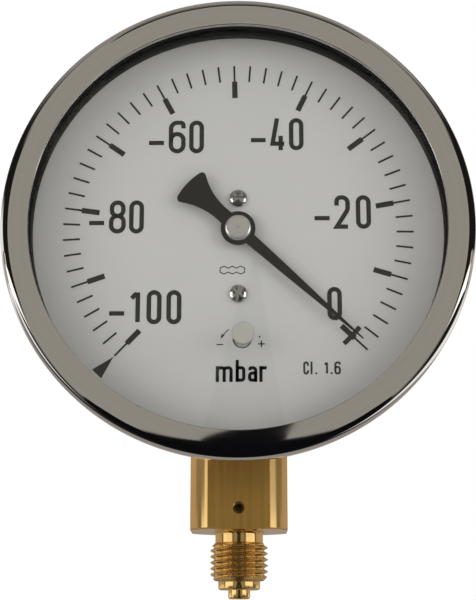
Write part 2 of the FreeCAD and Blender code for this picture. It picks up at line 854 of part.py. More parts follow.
def make_bridge():
    """Plate in front of the capsule with two ears for the rocker shaft."""
    outline = [
        (-bridge_foot, carrier_base),
        (bridge_foot, carrier_base),
        (bridge_foot, -bridge_waist),
        (bridge_right, -bridge_waist + bridge_right - bridge_foot),
        (bridge_right, bridge_top),
        (-bridge_left, bridge_top),
        (-bridge_left, -bridge_waist + bridge_left - bridge_foot),
        (-bridge_foot, -bridge_waist),
    ]
    solid = plate(outline, bridge_depth, bridge_sheet)
    reach = rocker_depth - bridge_back
    for x in (-ear_left - ear_sheet / 2, ear_right):
        low = gauge_point(x, bridge_back - bridge_sheet, rocker_height - ear_rim)
        ear = Part.makeBox(ear_sheet, reach + bridge_sheet, 2 * ear_rim, low)
        solid = solid.fuse([ear, bar(ear_rim, x, ear_sheet, rocker_depth, rocker_height)])
    bearing = bar(rocker_radius + running_gap, -2 * ear_left, 4 * ear_left, rocker_depth, rocker_height)
    solid = solid.cut(bearing)
    low = rocker_height - cutout_margin
    high = cutout_margin
    cutout = [(-cutout_half, low), (cutout_half, low), (cutout_half, high), (-cutout_half, high)]
    cuts = [plate(cutout, bridge_depth - overshoot, bridge_sheet + 2 * overshoot)]
    cuts += screw_holes(bridge_depth, bridge_sheet)
    for x in (-fixing_x, fixing_x):
        cuts.append(drill(fixing_shank + running_gap, bridge_depth, bridge_sheet, x, fixing_height))
    cuts.append(drill(pivot_radius + 4 * running_gap, bridge_depth, bridge_sheet, sector_x, sector_height))
    return solid.cut(cuts).removeSplitter()


def make_bridge_spacers():
    length = stem_front_depth - bridge_back
    return Part.makeCompound([
        rod(spacer_radius, bridge_back, length, x, fixing_height)
        .cut(drill(fixing_shank + running_gap, bridge_back, length, x, fixing_height))
        for x in (-fixing_x, fixing_x)
    ])


def make_carrier_screws():
    """Two screws hold the bridge from the front, and two the capsule's plate from the back."""
    screws = []
    plate_back = stem_rear_depth + capsule_plate_sheet
    front_turn, back_turn = fixing_slot_turns
    for x in (-fixing_x, fixing_x):
        front = slotted_screw(x, fixing_height, bridge_depth, fixing_head, fixing_head_height, fixing_shank,
                              stem_front_depth - bridge_depth + fixing_bite, front_turn)
        back = slotted_screw(x, fixing_height, plate_back, fixing_head, fixing_head_height, fixing_shank,
                             capsule_plate_sheet + fixing_bite, back_turn)
        screws += [front, turned_back(back, plate_back)]
    return Part.makeCompound(screws)


def diaphragm_profile(side):
    """A corrugated disc's outer face. Side is -1 for the front disc and 1 for the back one."""
    outer = capsule_depth + side * capsule_half
    inner = outer - side * wave_height
    waves_end = capsule_radius - 2 * capsule_rim
    step = (waves_end - capsule_flat) / (2 * capsule_waves)
    points = [(capsule_flat + k * step, inner if k % 2 else outer) for k in range(2 * capsule_waves + 1)]
    rim = capsule_depth + side * capsule_sheet
    points += [(capsule_radius - capsule_rim, rim), (capsule_radius, rim)]
    return points


def make_capsule_front():
    points = [(0, capsule_depth - capsule_half)] + diaphragm_profile(-1)
    return spun_sheet(points, [wave_round] * (len(points) - 2), -capsule_sheet)


def make_capsule_back():
    points = [(inlet_bore, capsule_depth + capsule_half)] + diaphragm_profile(1)
    return spun_sheet(points, [wave_round] * (len(points) - 2), capsule_sheet)


def make_capsule_boss():
    """Push pad on the capsule's free centre."""
    flange = capsule_depth - capsule_half - boss_flange_height
    front = push_tip_depth + push_ball + touch_gap
    pad = rod(boss_radius, front, flange - front)
    return pad.fuse(rod(boss_flange, flange, boss_flange_height)).removeSplitter()


def make_capsule_inlet():
    """Boss on the capsule's fixed centre, with the tube's socket from below."""
    start = capsule_depth + capsule_half
    stub_end = stem_rear_depth + capsule_plate_sheet + inlet_nut_height + inlet_end
    solid = rod(inlet_radius, start, stem_rear_depth - start)
    solid = solid.fuse(rod(inlet_thread, stem_rear_depth, stub_end - stem_rear_depth))
    tube_depth = dial_offset + tube_offset
    bore = rod(inlet_bore, start - overshoot, tube_depth + inlet_bore - start + overshoot)
    duct = Part.makeCylinder(tube_bore, inlet_radius, gauge_point(0, tube_depth, -inlet_radius))
    socket = Part.makeCylinder(tube_radius + seat_gap, tube_socket + overshoot,
                               gauge_point(0, tube_depth, -inlet_radius - overshoot))
    return solid.cut([bore, duct, socket]).removeSplitter()


def make_inlet_nut():
    solid = hexagon(inlet_nut_width, inlet_nut_height)
    solid = solid.cut(Part.makeCylinder(inlet_thread + seat_gap, inlet_nut_height))
    solid.rotate(V(0, 0, 0), V(1, 0, 0), -90)
    solid.translate(gauge_point(0, stem_rear_depth + capsule_plate_sheet, 0))
    return solid


def make_inlet_tube():
    bottom = axis_z + carrier_top - tube_socket
    top = axis_z - inlet_radius + tube_socket
    base = V(0, tube_offset, bottom)
    tube = Part.makeCylinder(tube_radius, top - bottom, base)
    return tube.cut(Part.makeCylinder(tube_bore, top - bottom, base))


def make_capsule_plate():
    """Plate behind the capsule, from the stem's rear flat up to the inlet."""
    circles = [(x, fixing_height, carrier_height / 2) for x in (-fixing_x, fixing_x)]
    circles.append((0, 0, inlet_radius + capsule_plate_rim / 2))
    solid = hull(circles, stem_rear_depth, capsule_plate_sheet)
    holes = [drill(inlet_thread + seat_gap, stem_rear_depth, capsule_plate_sheet)]
    for x in (-fixing_x, fixing_x):
        holes.append(drill(fixing_shank + running_gap, stem_rear_depth, capsule_plate_sheet, x, fixing_height))
    return solid.cut(holes)


def make_stem_seal():
    """Flat pad on the square, with its top hollowed to the case's curve."""
    half = seal_width / 2
    bottom = axis_z - case_radius - seal_thickness
    pad = Part.makeBox(seal_width, seal_width, seal_thickness + half, V(-half, -half, bottom))
    case_body = rod(case_radius, -dial_offset, 4 * dial_offset)
    hole = Part.makeCylinder(collar_radius + seat_gap, seal_width, V(0, 0, bottom - overshoot))
    return pad.cut([case_body, hole])


def make_saddle_washer():
    """Washer whose underside follows the case's inner wall."""
    bottom = axis_z - case_radius
    top = axis_z + washer_height
    disc = Part.makeCylinder(square_width / 2, top - bottom, V(0, 0, bottom))
    disc = disc.common(rod(case_radius - case_sheet, 0, case_depth))
    length = top - bottom + 2 * overshoot
    hole = Part.makeCylinder(collar_radius + seat_gap, length, V(0, 0, bottom - overshoot))
    return disc.cut(hole)


def make_stem_nut():
    solid = hexagon(square_width, nut_height).cut(Part.makeCylinder(collar_radius + seat_gap, nut_height))
    solid.translate(V(0, 0, axis_z + washer_height))
    return solid


def make_vent_plug():
    """Rubber plug that is buttoned into the case's back."""
    inner = case_depth - case_sheet
    throat = rod(vent_radius - seat_gap, inner, case_sheet, 0, vent_height)
    inside = rod(vent_radius + vent_rim, inner - vent_inside, vent_inside, 0, vent_height)
    outside = rod(vent_radius + vent_rim, case_depth, vent_outside, 0, vent_height)
    back = outside.BoundBox.YMax - flatness
    rims = [edge for edge in outside.Edges if edge.Closed and edge.BoundBox.YMin > back]
    outside = outside.makeFillet(vent_outside / 2, rims)
    return throat.fuse([inside, outside]).removeSplitter()


def pointer_local(along, across):
    """A point of the pointer, along its direction at rest and to its left."""
    dx, dz = polar(1, 90 - pointer_angle)
    return along * dx - across * dz, along * dz + across * dx


def make_pointer():
    """Tapered blade, ring round the hub and a fan-shaped tail with hollow sides."""
    blade = [(share * pointer_reach, -half) for share, half in blade_half_widths]
    blade += [(share * pointer_reach, half) for share, half in blade_half_widths[::-1]]
    solid = plate([pointer_local(*point) for point in blade], -pointer_depth, pointer_sheet)
    solid = solid.fuse(rod(pointer_ring, -pointer_depth, pointer_sheet))

    def at(along, across):
        x, height = pointer_local(along, across)
        return gauge_point(x, -pointer_depth, height)

    spread = math.radians(tail_spread)
    outer = (-tail_reach * math.cos(spread), tail_reach * math.sin(spread))
    hollow = (-tail_hollow_at, tail_hollow)
    edges = [
        Part.Arc(at(-pointer_ring, tail_neck), at(*hollow), at(*outer)).toShape(),
        Part.Arc(at(*outer), at(-tail_reach, 0), at(outer[0], -outer[1])).toShape(),
        Part.Arc(at(outer[0], -outer[1]), at(hollow[0], -hollow[1]), at(-pointer_ring, -tail_neck)).toShape(),
        Part.makeLine(at(-pointer_ring, -tail_neck), at(0, -tail_neck)),
        Part.makeLine(at(0, -tail_neck), at(0, tail_neck)),
        Part.makeLine(at(0, tail_neck), at(-pointer_ring, tail_neck)),
    ]
    tail = Part.Face(Part.Wire(edges)).extrude(V(0, pointer_sheet, 0))
    corners = [
        edge for edge in tail.Edges
        if edge.BoundBox.YLength > pointer_sheet / 2
        and (edge.CenterOfMass - gauge_point(0, 0, 0)).Length > (pointer_ring + tail_reach) / 2
    ]
    tail = tail.makeFillet(tail_corner, corners)
    return solid.fuse(tail).cut(drill(bush_sleeve, -pointer_depth, pointer_sheet)).removeSplitter()


def make_pointer_bush():
    """Bright cap in front of the pointer, with a dimple, a sleeve and a blind bore."""
    front = -(pointer_depth + bush_cap)
    cap = rod(bush_radius, front, bush_cap)
    rims = [edge for edge in cap.Edges if edge.Closed and edge.BoundBox.YMax < cap.BoundBox.YMin + flatness]
    cap = cap.makeFillet(bush_cap / 2, rims)
    solid = cap.fuse(rod(bush_sleeve, -pointer_depth, bush_length)).removeSplitter()
    bore = rod(arbor_radius, front + bush_skin, bush_cap - bush_skin + bush_length + overshoot)
    return solid.cut([bore, rod(bush_dimple, front, bush_skin / 2)])


def make_spring_collet():
    solid = rod(collet_radius, collet_depth, collet_height)
    return solid.cut(drill(arbor_radius, collet_depth, collet_height))


def make_hairspring():
    """Flat spiral strip from the collet to its stud."""
    depth = collet_depth + (collet_height - spring_height) / 2
    count = spring_turns * spring_points_a_turn

    def line(offset):
        points = []
        for k in range(count + 1):
            radius = spring_inner + (spring_outer - spring_inner) * k / count + offset
            x, height = polar(radius, 360.0 * k / spring_points_a_turn)
            points.append(gauge_point(x, depth, height))
        curve = Part.BSplineCurve()
        curve.interpolate(points)
        return curve.toShape(), points[0], points[-1]

    inner, inner_start, inner_end = line(-spring_strip / 2)
    outer, outer_start, outer_end = line(spring_strip / 2)
    ends = [Part.makeLine(inner_start, outer_start), Part.makeLine(inner_end, outer_end)]
    wire = Part.Wire(Part.__sortEdges__([inner, outer] + ends))
    return Part.Face(wire).extrude(V(0, spring_height, 0))


def make_spring_stud():
    start = front_plate_depth + plate_thickness
    x = spring_outer + spring_strip / 2 + seat_gap + stud_radius
    return rod(stud_radius, start, end_gap + collet_height, x, 0)


def make_zero_screw():
    """Slotted adjuster behind the window's plug and the dial's hole."""
    end = bridge_depth - end_gap
    return slotted_screw(plug_x, -plug_drop, zero_head_depth, zero_head, zero_head_height, zero_shank,
                         end - zero_head_depth, zero_slot_turn)


def make_zero_bush():
    start = zero_head_depth + end_gap
    solid = rod(zero_bush_radius, start, bridge_depth - start, plug_x, -plug_drop)
    return solid.cut(drill(zero_shank + running_gap, start, bridge_depth - start, plug_x, -plug_drop))


nodes = {
    "stem": make_stem,
    "case": make_case,
    "bezel_ring": make_bezel,
    "window": make_window,
    "window_gasket": make_gasket,
    "spacer_ring": make_spacer,
    "zero_plug": make_zero_plug,
    "dial": make_dial,
    "scale_marks": make_scale_marks,
    "dial_screws": make_dial_screws,
    "dial_posts": make_dial_posts,
    "movement_front_plate": make_front_plate,
    "movement_back_plate": make_back_plate,
    "movement_pillars": make_pillars,
    "plate_screws": make_plate_screws,
    "pinion_arbor": make_pinion_arbor,
    "sector_gear": make_sector_gear,
    "sector_arbor": make_sector_arbor,
    "sector_pin": make_sector_pin,
    "link": make_link,
    "rocker_shaft": make_rocker_shaft,
    "drive_arm": make_drive_arm,
    "rocker_pin": make_rocker_pin,
    "push_arm": make_push_arm,
    "bridge": make_bridge,
    "bridge_spacers": make_bridge_spacers,
    "carrier_screws": make_carrier_screws,
    "capsule_front": make_capsule_front,
    "capsule_back": make_capsule_back,
    "capsule_boss": make_capsule_boss,
    "capsule_inlet": make_capsule_inlet,
    "inlet_nut": make_inlet_nut,
    "inlet_tube": make_inlet_tube,
    "capsule_plate": make_capsule_plate,
    "stem_seal": make_stem_seal,
    "saddle_washer": make_saddle_washer,
    "stem_nut": make_stem_nut,
    "vent_plug": make_vent_plug,
    "pointer": make_pointer,
    "pointer_bush": make_pointer_bush,
    "spring_collet": make_spring_collet,
    "hairspring": make_hairspring,
    "spring_stud": make_spring_stud,
    "zero_screw": make_zero_screw,
    "zero_bush": make_zero_bush,
}

os.makedirs("parts", exist_ok=True)
for name, make in nodes.items():
    shape = make()
    solids = shape.Solids
    shape = solids[0] if len(solids) == 1 else Part.makeCompound(solids)
    shape.exportStep(f"parts/{name}.step")
    print(name, len(solids), "valid" if shape.isValid() else "NOT VALID", round(shape.Volume, 3))
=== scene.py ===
import bpy
import bmesh
import math
from mathutils import Matrix, Vector


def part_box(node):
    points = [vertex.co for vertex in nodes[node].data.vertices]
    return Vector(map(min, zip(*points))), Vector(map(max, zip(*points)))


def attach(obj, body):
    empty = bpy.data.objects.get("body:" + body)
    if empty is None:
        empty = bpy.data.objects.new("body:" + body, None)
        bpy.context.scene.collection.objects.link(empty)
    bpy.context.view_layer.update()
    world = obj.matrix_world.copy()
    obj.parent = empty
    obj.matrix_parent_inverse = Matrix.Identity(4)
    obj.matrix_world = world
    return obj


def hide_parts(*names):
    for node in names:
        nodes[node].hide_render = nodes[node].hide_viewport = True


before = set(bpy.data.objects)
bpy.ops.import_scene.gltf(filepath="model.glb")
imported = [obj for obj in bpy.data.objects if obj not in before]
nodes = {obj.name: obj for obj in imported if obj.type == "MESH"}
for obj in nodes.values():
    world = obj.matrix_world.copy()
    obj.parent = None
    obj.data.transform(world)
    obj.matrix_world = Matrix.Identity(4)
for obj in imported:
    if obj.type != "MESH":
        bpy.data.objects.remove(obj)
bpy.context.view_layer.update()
mm = 0.001

# the dial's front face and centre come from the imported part
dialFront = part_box("dial")[0].y
bezelLow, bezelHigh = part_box("bezel_ring")
axisZ = (bezelLow.z + bezelHigh.z) / 2
print("frame loaded:", len(nodes), "nodes")


# Helpers for shapes. Sizes are in millimetres, depths behind the dial's front, heights above its centre.

def gaugePoint(x, depth, height):
    return Vector((x * mm, dialFront + depth * mm, axisZ + height * mm))


def polar(radius, degrees):
    return radius * math.cos(math.radians(degrees)), radius * math.sin(math.radians(degrees))


def roundedLine(points, steps=8, closed=False):
    # each point is (x, z, corner radius)
    count = len(points)
    line = []
    for i, (x, z, radius) in enumerate(points):
        corner = Vector((x, z))
        if radius <= 0 or (not closed and i in (0, count - 1)):
            line.append(corner)
            continue
        before = Vector(points[i - 1][:2])
        after = Vector(points[(i + 1) % count][:2])
        back = (before - corner).normalized()
        on = (after - corner).normalized()
        half = back.angle(on) / 2
        reach = min(radius / math.tan(half), (before - corner).length * 0.5, (after - corner).length * 0.5)
        actual = reach * math.tan(half)
        centre = corner + (back + on).normalized() * (actual / math.sin(half))
        start = corner + back * reach - centre
        turn = start.angle_signed(corner + on * reach - centre)
        for k in range(steps + 1):
            angle = -turn * k / steps
            line.append(centre + Vector((start.x * math.cos(angle) - start.y * math.sin(angle),
                                         start.x * math.sin(angle) + start.y * math.cos(angle))))
    return line


def spinMesh(name, profile, segments=256, axis="Y", base=None):
    # profile: closed loop of (radius, distance along the axis)
    base = base or gaugePoint(0, 0, 0)
    verts, faces = [], []
    count = len(profile)
    for k in range(segments):
        turn = 2 * math.pi * k / segments
        for radius, along in profile:
            across = Vector((radius * math.cos(turn), 0, radius * math.sin(turn))) * mm
            if axis == "Z":
                across = Vector((across.x, across.z, 0))
                verts.append(base + across + Vector((0, 0, along * mm)))
            else:
                verts.append(base + across + Vector((0, along * mm, 0)))
    for k in range(segments):
        a, b = k * count, (k + 1) % segments * count
        for i in range(count):
            j = (i + 1) % count
            faces.append((a + i, a + j, b + j, b + i))
    mesh = bpy.data.meshes.new(name)
    mesh.from_pydata(verts, [], faces)
    return cleanMesh(mesh)


def cleanMesh(mesh, distance=1e-7):
    work = bmesh.new()
    work.from_mesh(mesh)
    bmesh.ops.remove_doubles(work, verts=work.verts, dist=distance)
    bmesh.ops.dissolve_degenerate(work, edges=work.edges, dist=distance / 10)
    bmesh.ops.recalc_face_normals(work, faces=work.faces)
    work.to_mesh(mesh)
    work.free()
    return mesh


def ribbonOutline(line, width, closed=False):
    # both sides of a stroke with mitred corners; returns a list of quads
    sides = []
    count = len(line)
    for i, point in enumerate(line):
        before = line[i - 1] if (i > 0 or closed) else None
        after = line[(i + 1) % count] if (i < count - 1 or closed) else None
        normals = []
        for a, b in ((before, point), (point, after)):
            if a is not None and b is not None and (b - a).length > 1e-6:
                d = (b - a).normalized()
                normals.append(Vector((-d.y, d.x)))
        normal = sum(normals, Vector((0, 0))).normalized()
        spread = width / 2 / max(normal.dot(normals[0]), 0.35)
        sides.append((point + normal * spread, point - normal * spread))
    pairs = zip(sides, sides[1:] + (sides[:1] if closed else []))
    return [(a[0], b[0], b[1], a[1]) for a, b in list(pairs)[:count if closed else count - 1]]


def printMesh(name, quads, depth, thickness):
    # printed strokes as low prisms that stand on the dial
    verts, faces = [], []
    for quad in quads:
        start = len(verts)
        for d in (depth, depth + thickness):
            verts += [gaugePoint(x, d, z) for x, z in quad]
        faces += [(start, start + 1, start + 2, start + 3), (start + 7, start + 6, start + 5, start + 4)]
        faces += [(start + i, start + 4 + i, start + 4 + (i + 1) % 4, start + (i + 1) % 4) for i in range(4)]
    mesh = bpy.data.meshes.new(name)
    mesh.from_pydata(verts, [], faces)
    work = bmesh.new()
    work.from_mesh(mesh)
    bmesh.ops.recalc_face_normals(work, faces=work.faces)
    work.to_mesh(mesh)
    work.free()
    return mesh


def joinMeshes(name, meshes):
    work = bmesh.new()
    for mesh in meshes:
        work.from_mesh(mesh)
    mesh = bpy.data.meshes.new(name)
    work.to_mesh(mesh)
    work.free()
    return mesh


def cutMesh(mesh, cutters):
    target = bpy.data.objects.new("cutTarget", mesh)
    bpy.context.scene.collection.objects.link(target)
    tools = []
    for cutter in cutters:
        tool = bpy.data.objects.new("cutTool", cutter)
        bpy.context.scene.collection.objects.link(tool)
        tools.append(tool)
        step = target.modifiers.new("cut", "BOOLEAN")
        step.object = tool
        step.operation = "DIFFERENCE"
        step.solver = "EXACT"
    view = bpy.context.evaluated_depsgraph_get()
    result = bpy.data.meshes.new_from_object(target.evaluated_get(view))
    for thing in [target] + tools:
        bpy.data.objects.remove(thing)
    return result


def addPiece(name, mesh, body, material, replaced=(), sharp=30):
    for face in mesh.polygons:
        face.use_smooth = True
    mesh.set_sharp_from_angle(angle=math.radians(sharp))
    mesh.materials.clear()
    mesh.materials.append(material)
    piece = bpy.data.objects.new(name, mesh)
    bpy.context.scene.collection.objects.link(piece)
    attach(piece, body)
    if replaced:
        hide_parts(*replaced)
    return piece


# Shader groups that several finishes share

def newGroup(name, inputs, outputs):
    group = bpy.data.node_groups.new(name, "ShaderNodeTree")
    for label, kind, value in inputs:
        socket = group.interface.new_socket(name=label, in_out="INPUT", socket_type=kind)
        socket.default_value = value
    for label, kind in outputs:
        group.interface.new_socket(name=label, in_out="OUTPUT", socket_type=kind)
    return group, group.nodes.new("NodeGroupInput"), group.nodes.new("NodeGroupOutput")


def link(tree, source, target):
    tree.links.new(source, target)


def addNode(tree, kind, **values):
    node = tree.nodes.new(kind)
    for key, value in values.items():
        setattr(node, key, value)
    return node


def mathNode(tree, operation, a, b=None, clamp=False):
    node = addNode(tree, "ShaderNodeMath", operation=operation, use_clamp=clamp)
    for socket, value in zip(node.inputs, (a, b)):
        if value is None:
            continue
        if isinstance(value, (int, float)):
            socket.default_value = value
        else:
            link(tree, value, socket)
    return node.outputs[0]


def mixColour(tree, factor, a, b):
    node = addNode(tree, "ShaderNodeMix", data_type="RGBA")
    for socket, value in ((node.inputs[0], factor), (node.inputs[6], a), (node.inputs[7], b)):
        if isinstance(value, (int, float)):
            socket.default_value = value
        elif isinstance(value, tuple):
            socket.default_value = (*value, 1.0)
        else:
            link(tree, value, socket)
    return node.outputs[2]


def buildMottle():
    # slow change of shade plus fine grain, as on paint, cast or moulded surfaces
    inputs = [("Light", "NodeSocketColor", (0.8, 0.8, 0.8, 1)), ("Dark", "NodeSocketColor", (0.6, 0.6, 0.6, 1)),
              ("Patch Scale", "NodeSocketFloat", 40.0), ("Grain Scale", "NodeSocketFloat", 2500.0),
              ("Grain", "NodeSocketFloat", 0.3)]
    outputs = [("Color", "NodeSocketColor"), ("Mask", "NodeSocketFloat"), ("Height", "NodeSocketFloat")]
    group, source, target = newGroup("finishMottle", inputs, outputs)
    place = addNode(group, "ShaderNodeTexCoord")
    patch = addNode(group, "ShaderNodeTexNoise")
    grain = addNode(group, "ShaderNodeTexNoise")
    patch.inputs["Detail"].default_value = 4
    link(group, place.outputs["Object"], patch.inputs["Vector"])
    link(group, place.outputs["Object"], grain.inputs["Vector"])
    link(group, source.outputs["Patch Scale"], patch.inputs["Scale"])
    link(group, source.outputs["Grain Scale"], grain.inputs["Scale"])
    fine = mathNode(group, "MULTIPLY", grain.outputs["Fac"], source.outputs["Grain"])
    patchShare = mathNode(group, "SUBTRACT", 1.0, source.outputs["Grain"])
    wide = mathNode(group, "MULTIPLY", patch.outputs["Fac"], patchShare)
    mask = mathNode(group, "ADD", fine, wide, clamp=True)
    spread = addNode(group, "ShaderNodeMapRange")
    spread.inputs["From Min"].default_value = 0.3
    spread.inputs["From Max"].default_value = 0.7
    link(group, mask, spread.inputs["Value"])
    link(group, mixColour(group, spread.outputs[0], source.outputs["Dark"], source.outputs["Light"]),
         target.inputs["Color"])
    link(group, spread.outputs[0], target.inputs["Mask"])
    link(group, grain.outputs["Fac"], target.inputs["Height"])
    return group


def buildStreaks():
    # fine tool lines: noise stretched along one direction, given by a scale for each axis
    inputs = [("Scale", "NodeSocketVector", (1.0, 1.0, 1.0)), ("Fineness", "NodeSocketFloat", 1000.0),
              ("Contrast", "NodeSocketFloat", 0.5)]
    outputs = [("Mask", "NodeSocketFloat"), ("Height", "NodeSocketFloat")]
    group, source, target = newGroup("toolStreaks", inputs, outputs)
    place = addNode(group, "ShaderNodeTexCoord")
    stretch = addNode(group, "ShaderNodeVectorMath", operation="MULTIPLY")
    noise = addNode(group, "ShaderNodeTexNoise")
    noise.inputs["Detail"].default_value = 3
    link(group, place.outputs["Object"], stretch.inputs[0])
    link(group, source.outputs["Scale"], stretch.inputs[1])
    link(group, stretch.outputs[0], noise.inputs["Vector"])
    link(group, source.outputs["Fineness"], noise.inputs["Scale"])
    centred = mathNode(group, "SUBTRACT", noise.outputs["Fac"], 0.5)
    widened = mathNode(group, "MULTIPLY", centred, source.outputs["Contrast"])
    mask = mathNode(group, "ADD", widened, 0.5, clamp=True)
    link(group, mask, target.inputs["Mask"])
    link(group, noise.outputs["Fac"], target.inputs["Height"])
    return group


def buildRings():
    # turning marks round an axis: noise read by radius and by place along the axis
    inputs = [("Centre", "NodeSocketVector", (0.0, 0.0, 0.0)), ("Along", "NodeSocketVector", (0.0, 1.0, 0.0)),
              ("Fineness", "NodeSocketFloat", 4000.0), ("Contrast", "NodeSocketFloat", 0.5)]
    outputs = [("Mask", "NodeSocketFloat"), ("Height", "NodeSocketFloat")]
    group, source, target = newGroup("turningRings", inputs, outputs)
    place = addNode(group, "ShaderNodeTexCoord")
    offset = addNode(group, "ShaderNodeVectorMath", operation="SUBTRACT")
    link(group, place.outputs["Object"], offset.inputs[0])
    link(group, source.outputs["Centre"], offset.inputs[1])
    height = addNode(group, "ShaderNodeVectorMath", operation="DOT_PRODUCT")
    link(group, offset.outputs[0], height.inputs[0])
    link(group, source.outputs["Along"], height.inputs[1])
    across = addNode(group, "ShaderNodeVectorMath", operation="CROSS_PRODUCT")
    link(group, offset.outputs[0], across.inputs[0])
    link(group, source.outputs["Along"], across.inputs[1])
    radius = addNode(group, "ShaderNodeVectorMath", operation="LENGTH")
    link(group, across.outputs[0], radius.inputs[0])
    pair = addNode(group, "ShaderNodeCombineXYZ")
    link(group, radius.outputs["Value"], pair.inputs[0])
    link(group, height.outputs["Value"], pair.inputs[1])
    noise = addNode(group, "ShaderNodeTexNoise")
    noise.inputs["Detail"].default_value = 3
    link(group, pair.outputs[0], noise.inputs["Vector"])
    link(group, source.outputs["Fineness"], noise.inputs["Scale"])
    centred = mathNode(group, "SUBTRACT", noise.outputs["Fac"], 0.5)
    widened = mathNode(group, "MULTIPLY", centred, source.outputs["Contrast"])
    mask = mathNode(group, "ADD", widened, 0.5, clamp=True)
    link(group, mask, target.inputs["Mask"])
    link(group, noise.outputs["Fac"], target.inputs["Height"])
    return group


mottleGroup = buildMottle()
streakGroup = buildStreaks()
ringGroup = buildRings()


def placeGroup(tree, group, **values):
    node = addNode(tree, "ShaderNodeGroup", node_tree=group)
    for key, value in values.items():
        socket = node.inputs[key.replace("_", " ")]
        socket.default_value = (*value, 1.0) if socket.type == "RGBA" else value
    return node


def newFinish(name, metallic, roughness, **sockets):
    material = bpy.data.materials.new(name)
    material.use_nodes = True
    tree = material.node_tree
    shader = tree.nodes["Principled BSDF"]
    shader.inputs["Metallic"].default_value = metallic
    shader.inputs["Roughness"].default_value = roughness
    for key, value in sockets.items():
        shader.inputs[key.replace("_", " ")].default_value = value
    return material, tree, shader


def addBump(tree, shader, height, strength, distance):
    bump = addNode(tree, "ShaderNodeBump")
    bump.inputs["Strength"].default_value = strength
    bump.inputs["Distance"].default_value = distance * mm
    link(tree, height, bump.inputs["Height"])
    link(tree, bump.outputs[0], shader.inputs["Normal"])


def letThrough(tree, shader, share):
    # the finish turns clear where the share is 1
    clear = addNode(tree, "ShaderNodeBsdfTransparent")
    choose = addNode(tree, "ShaderNodeMixShader")
    link(tree, share, choose.inputs[0])
    link(tree, shader.outputs[0], choose.inputs[1])
    link(tree, clear.outputs[0], choose.inputs[2])
    link(tree, choose.outputs[0], tree.nodes["Material Output"].inputs["Surface"])


def rangeNode(tree, value, low, high):
    node = addNode(tree, "ShaderNodeMapRange")
    node.inputs["To Min"].default_value = low
    node.inputs["To Max"].default_value = high
    link(tree, value, node.inputs["Value"])
    return node.outputs[0]


def mottledFinish(name, light, dark, metallic, roughness, spread=0.08, patch=60.0, grain=2500.0, bump=0.15,
                  grainShare=0.4, **sockets):
    # paint, rubber, plastic and plain sheet metal
    material, tree, shader = newFinish(name, metallic, roughness, **sockets)
    node = placeGroup(tree, mottleGroup, Light=light, Dark=dark, Patch_Scale=patch, Grain_Scale=grain,
                      Grain=grainShare)
    link(tree, node.outputs["Color"], shader.inputs["Base Color"])
    link(tree, rangeNode(tree, node.outputs["Mask"], roughness - spread / 2, roughness + spread / 2),
         shader.inputs["Roughness"])
    addBump(tree, shader, node.outputs["Height"], bump, 0.02)
    return material


def turnedFinish(name, light, dark, metallic, roughness, centre, along, fineness=3000.0, spread=0.1, bump=0.2):
    # surfaces with turning marks round their own axis
    material, tree, shader = newFinish(name, metallic, roughness)
    node = placeGroup(tree, ringGroup, Centre=centre, Along=along, Fineness=fineness, Contrast=1.6)
    link(tree, mixColour(tree, node.outputs["Mask"], dark, light), shader.inputs["Base Color"])
    link(tree, rangeNode(tree, node.outputs["Mask"], roughness + spread / 2, roughness - spread / 2),
         shader.inputs["Roughness"])
    addBump(tree, shader, node.outputs["Height"], bump, 0.01)
    return material


def streakedFinish(name, light, dark, metallic, roughness, scale, fineness=1500.0, spread=0.12, bump=0.2):
    # drawn or brushed bar and sheet
    material, tree, shader = newFinish(name, metallic, roughness)
    node = placeGroup(tree, streakGroup, Scale=scale, Fineness=fineness, Contrast=1.5)
    link(tree, mixColour(tree, node.outputs["Mask"], dark, light), shader.inputs["Base Color"])
    link(tree, rangeNode(tree, node.outputs["Mask"], roughness + spread / 2, roughness - spread / 2),
         shader.inputs["Roughness"])
    addBump(tree, shader, node.outputs["Height"], bump, 0.01)
    return material


gaugeCentre = tuple(gaugePoint(0, 0, 0))
polishedSteel = turnedFinish("polishedSteel", (0.80, 0.78, 0.75), (0.75, 0.73, 0.70), 1.0, 0.03, gaugeCentre,
                             (0, 1, 0), fineness=900.0, spread=0.02, bump=0.002)
caseSteel = turnedFinish("caseSteel", (0.66, 0.65, 0.64), (0.56, 0.55, 0.54), 1.0, 0.28, gaugeCentre,
                         (0, 1, 0), fineness=2500.0, spread=0.12, bump=0.12)
screwSteel = mottledFinish("screwSteel", (0.74, 0.73, 0.71), (0.60, 0.59, 0.57), 1.0, 0.16, patch=300.0,
                           bump=0.1)
zincSteel = mottledFinish("zincSteel", (0.68, 0.68, 0.66), (0.52, 0.53, 0.53), 1.0, 0.32, patch=150.0)
movementBrass = streakedFinish("movementBrass", (0.82, 0.62, 0.30), (0.66, 0.48, 0.22), 1.0, 0.26, (1, 1, 0.05))
springBronze = turnedFinish("springBronze", (0.78, 0.48, 0.28), (0.64, 0.37, 0.20), 1.0, 0.24, gaugeCentre,
                            (0, 1, 0))
bushSteel = turnedFinish("bushSteel", (0.78, 0.76, 0.73), (0.69, 0.67, 0.64), 0.8, 0.2, gaugeCentre, (0, 1, 0),
                         fineness=2600.0, spread=0.06, bump=0.1)
blackRubber = mottledFinish("blackRubber", (0.020, 0.020, 0.018), (0.012, 0.012, 0.011), 0.0, 0.75, patch=120.0,
                            Specular_IOR_Level=0.15)
blackRing = mottledFinish("blackRing", (0.014, 0.014, 0.011), (0.009, 0.009, 0.007), 0.0, 0.7, patch=90.0,
                          Specular_IOR_Level=0.12)
dialPaint = mottledFinish("dialPaint", (0.520, 0.512, 0.489), (0.498, 0.491, 0.470), 0.0, 0.6, patch=28.0,
                          grain=6000.0, bump=0.03, grainShare=0.25, Specular_IOR_Level=0.2)
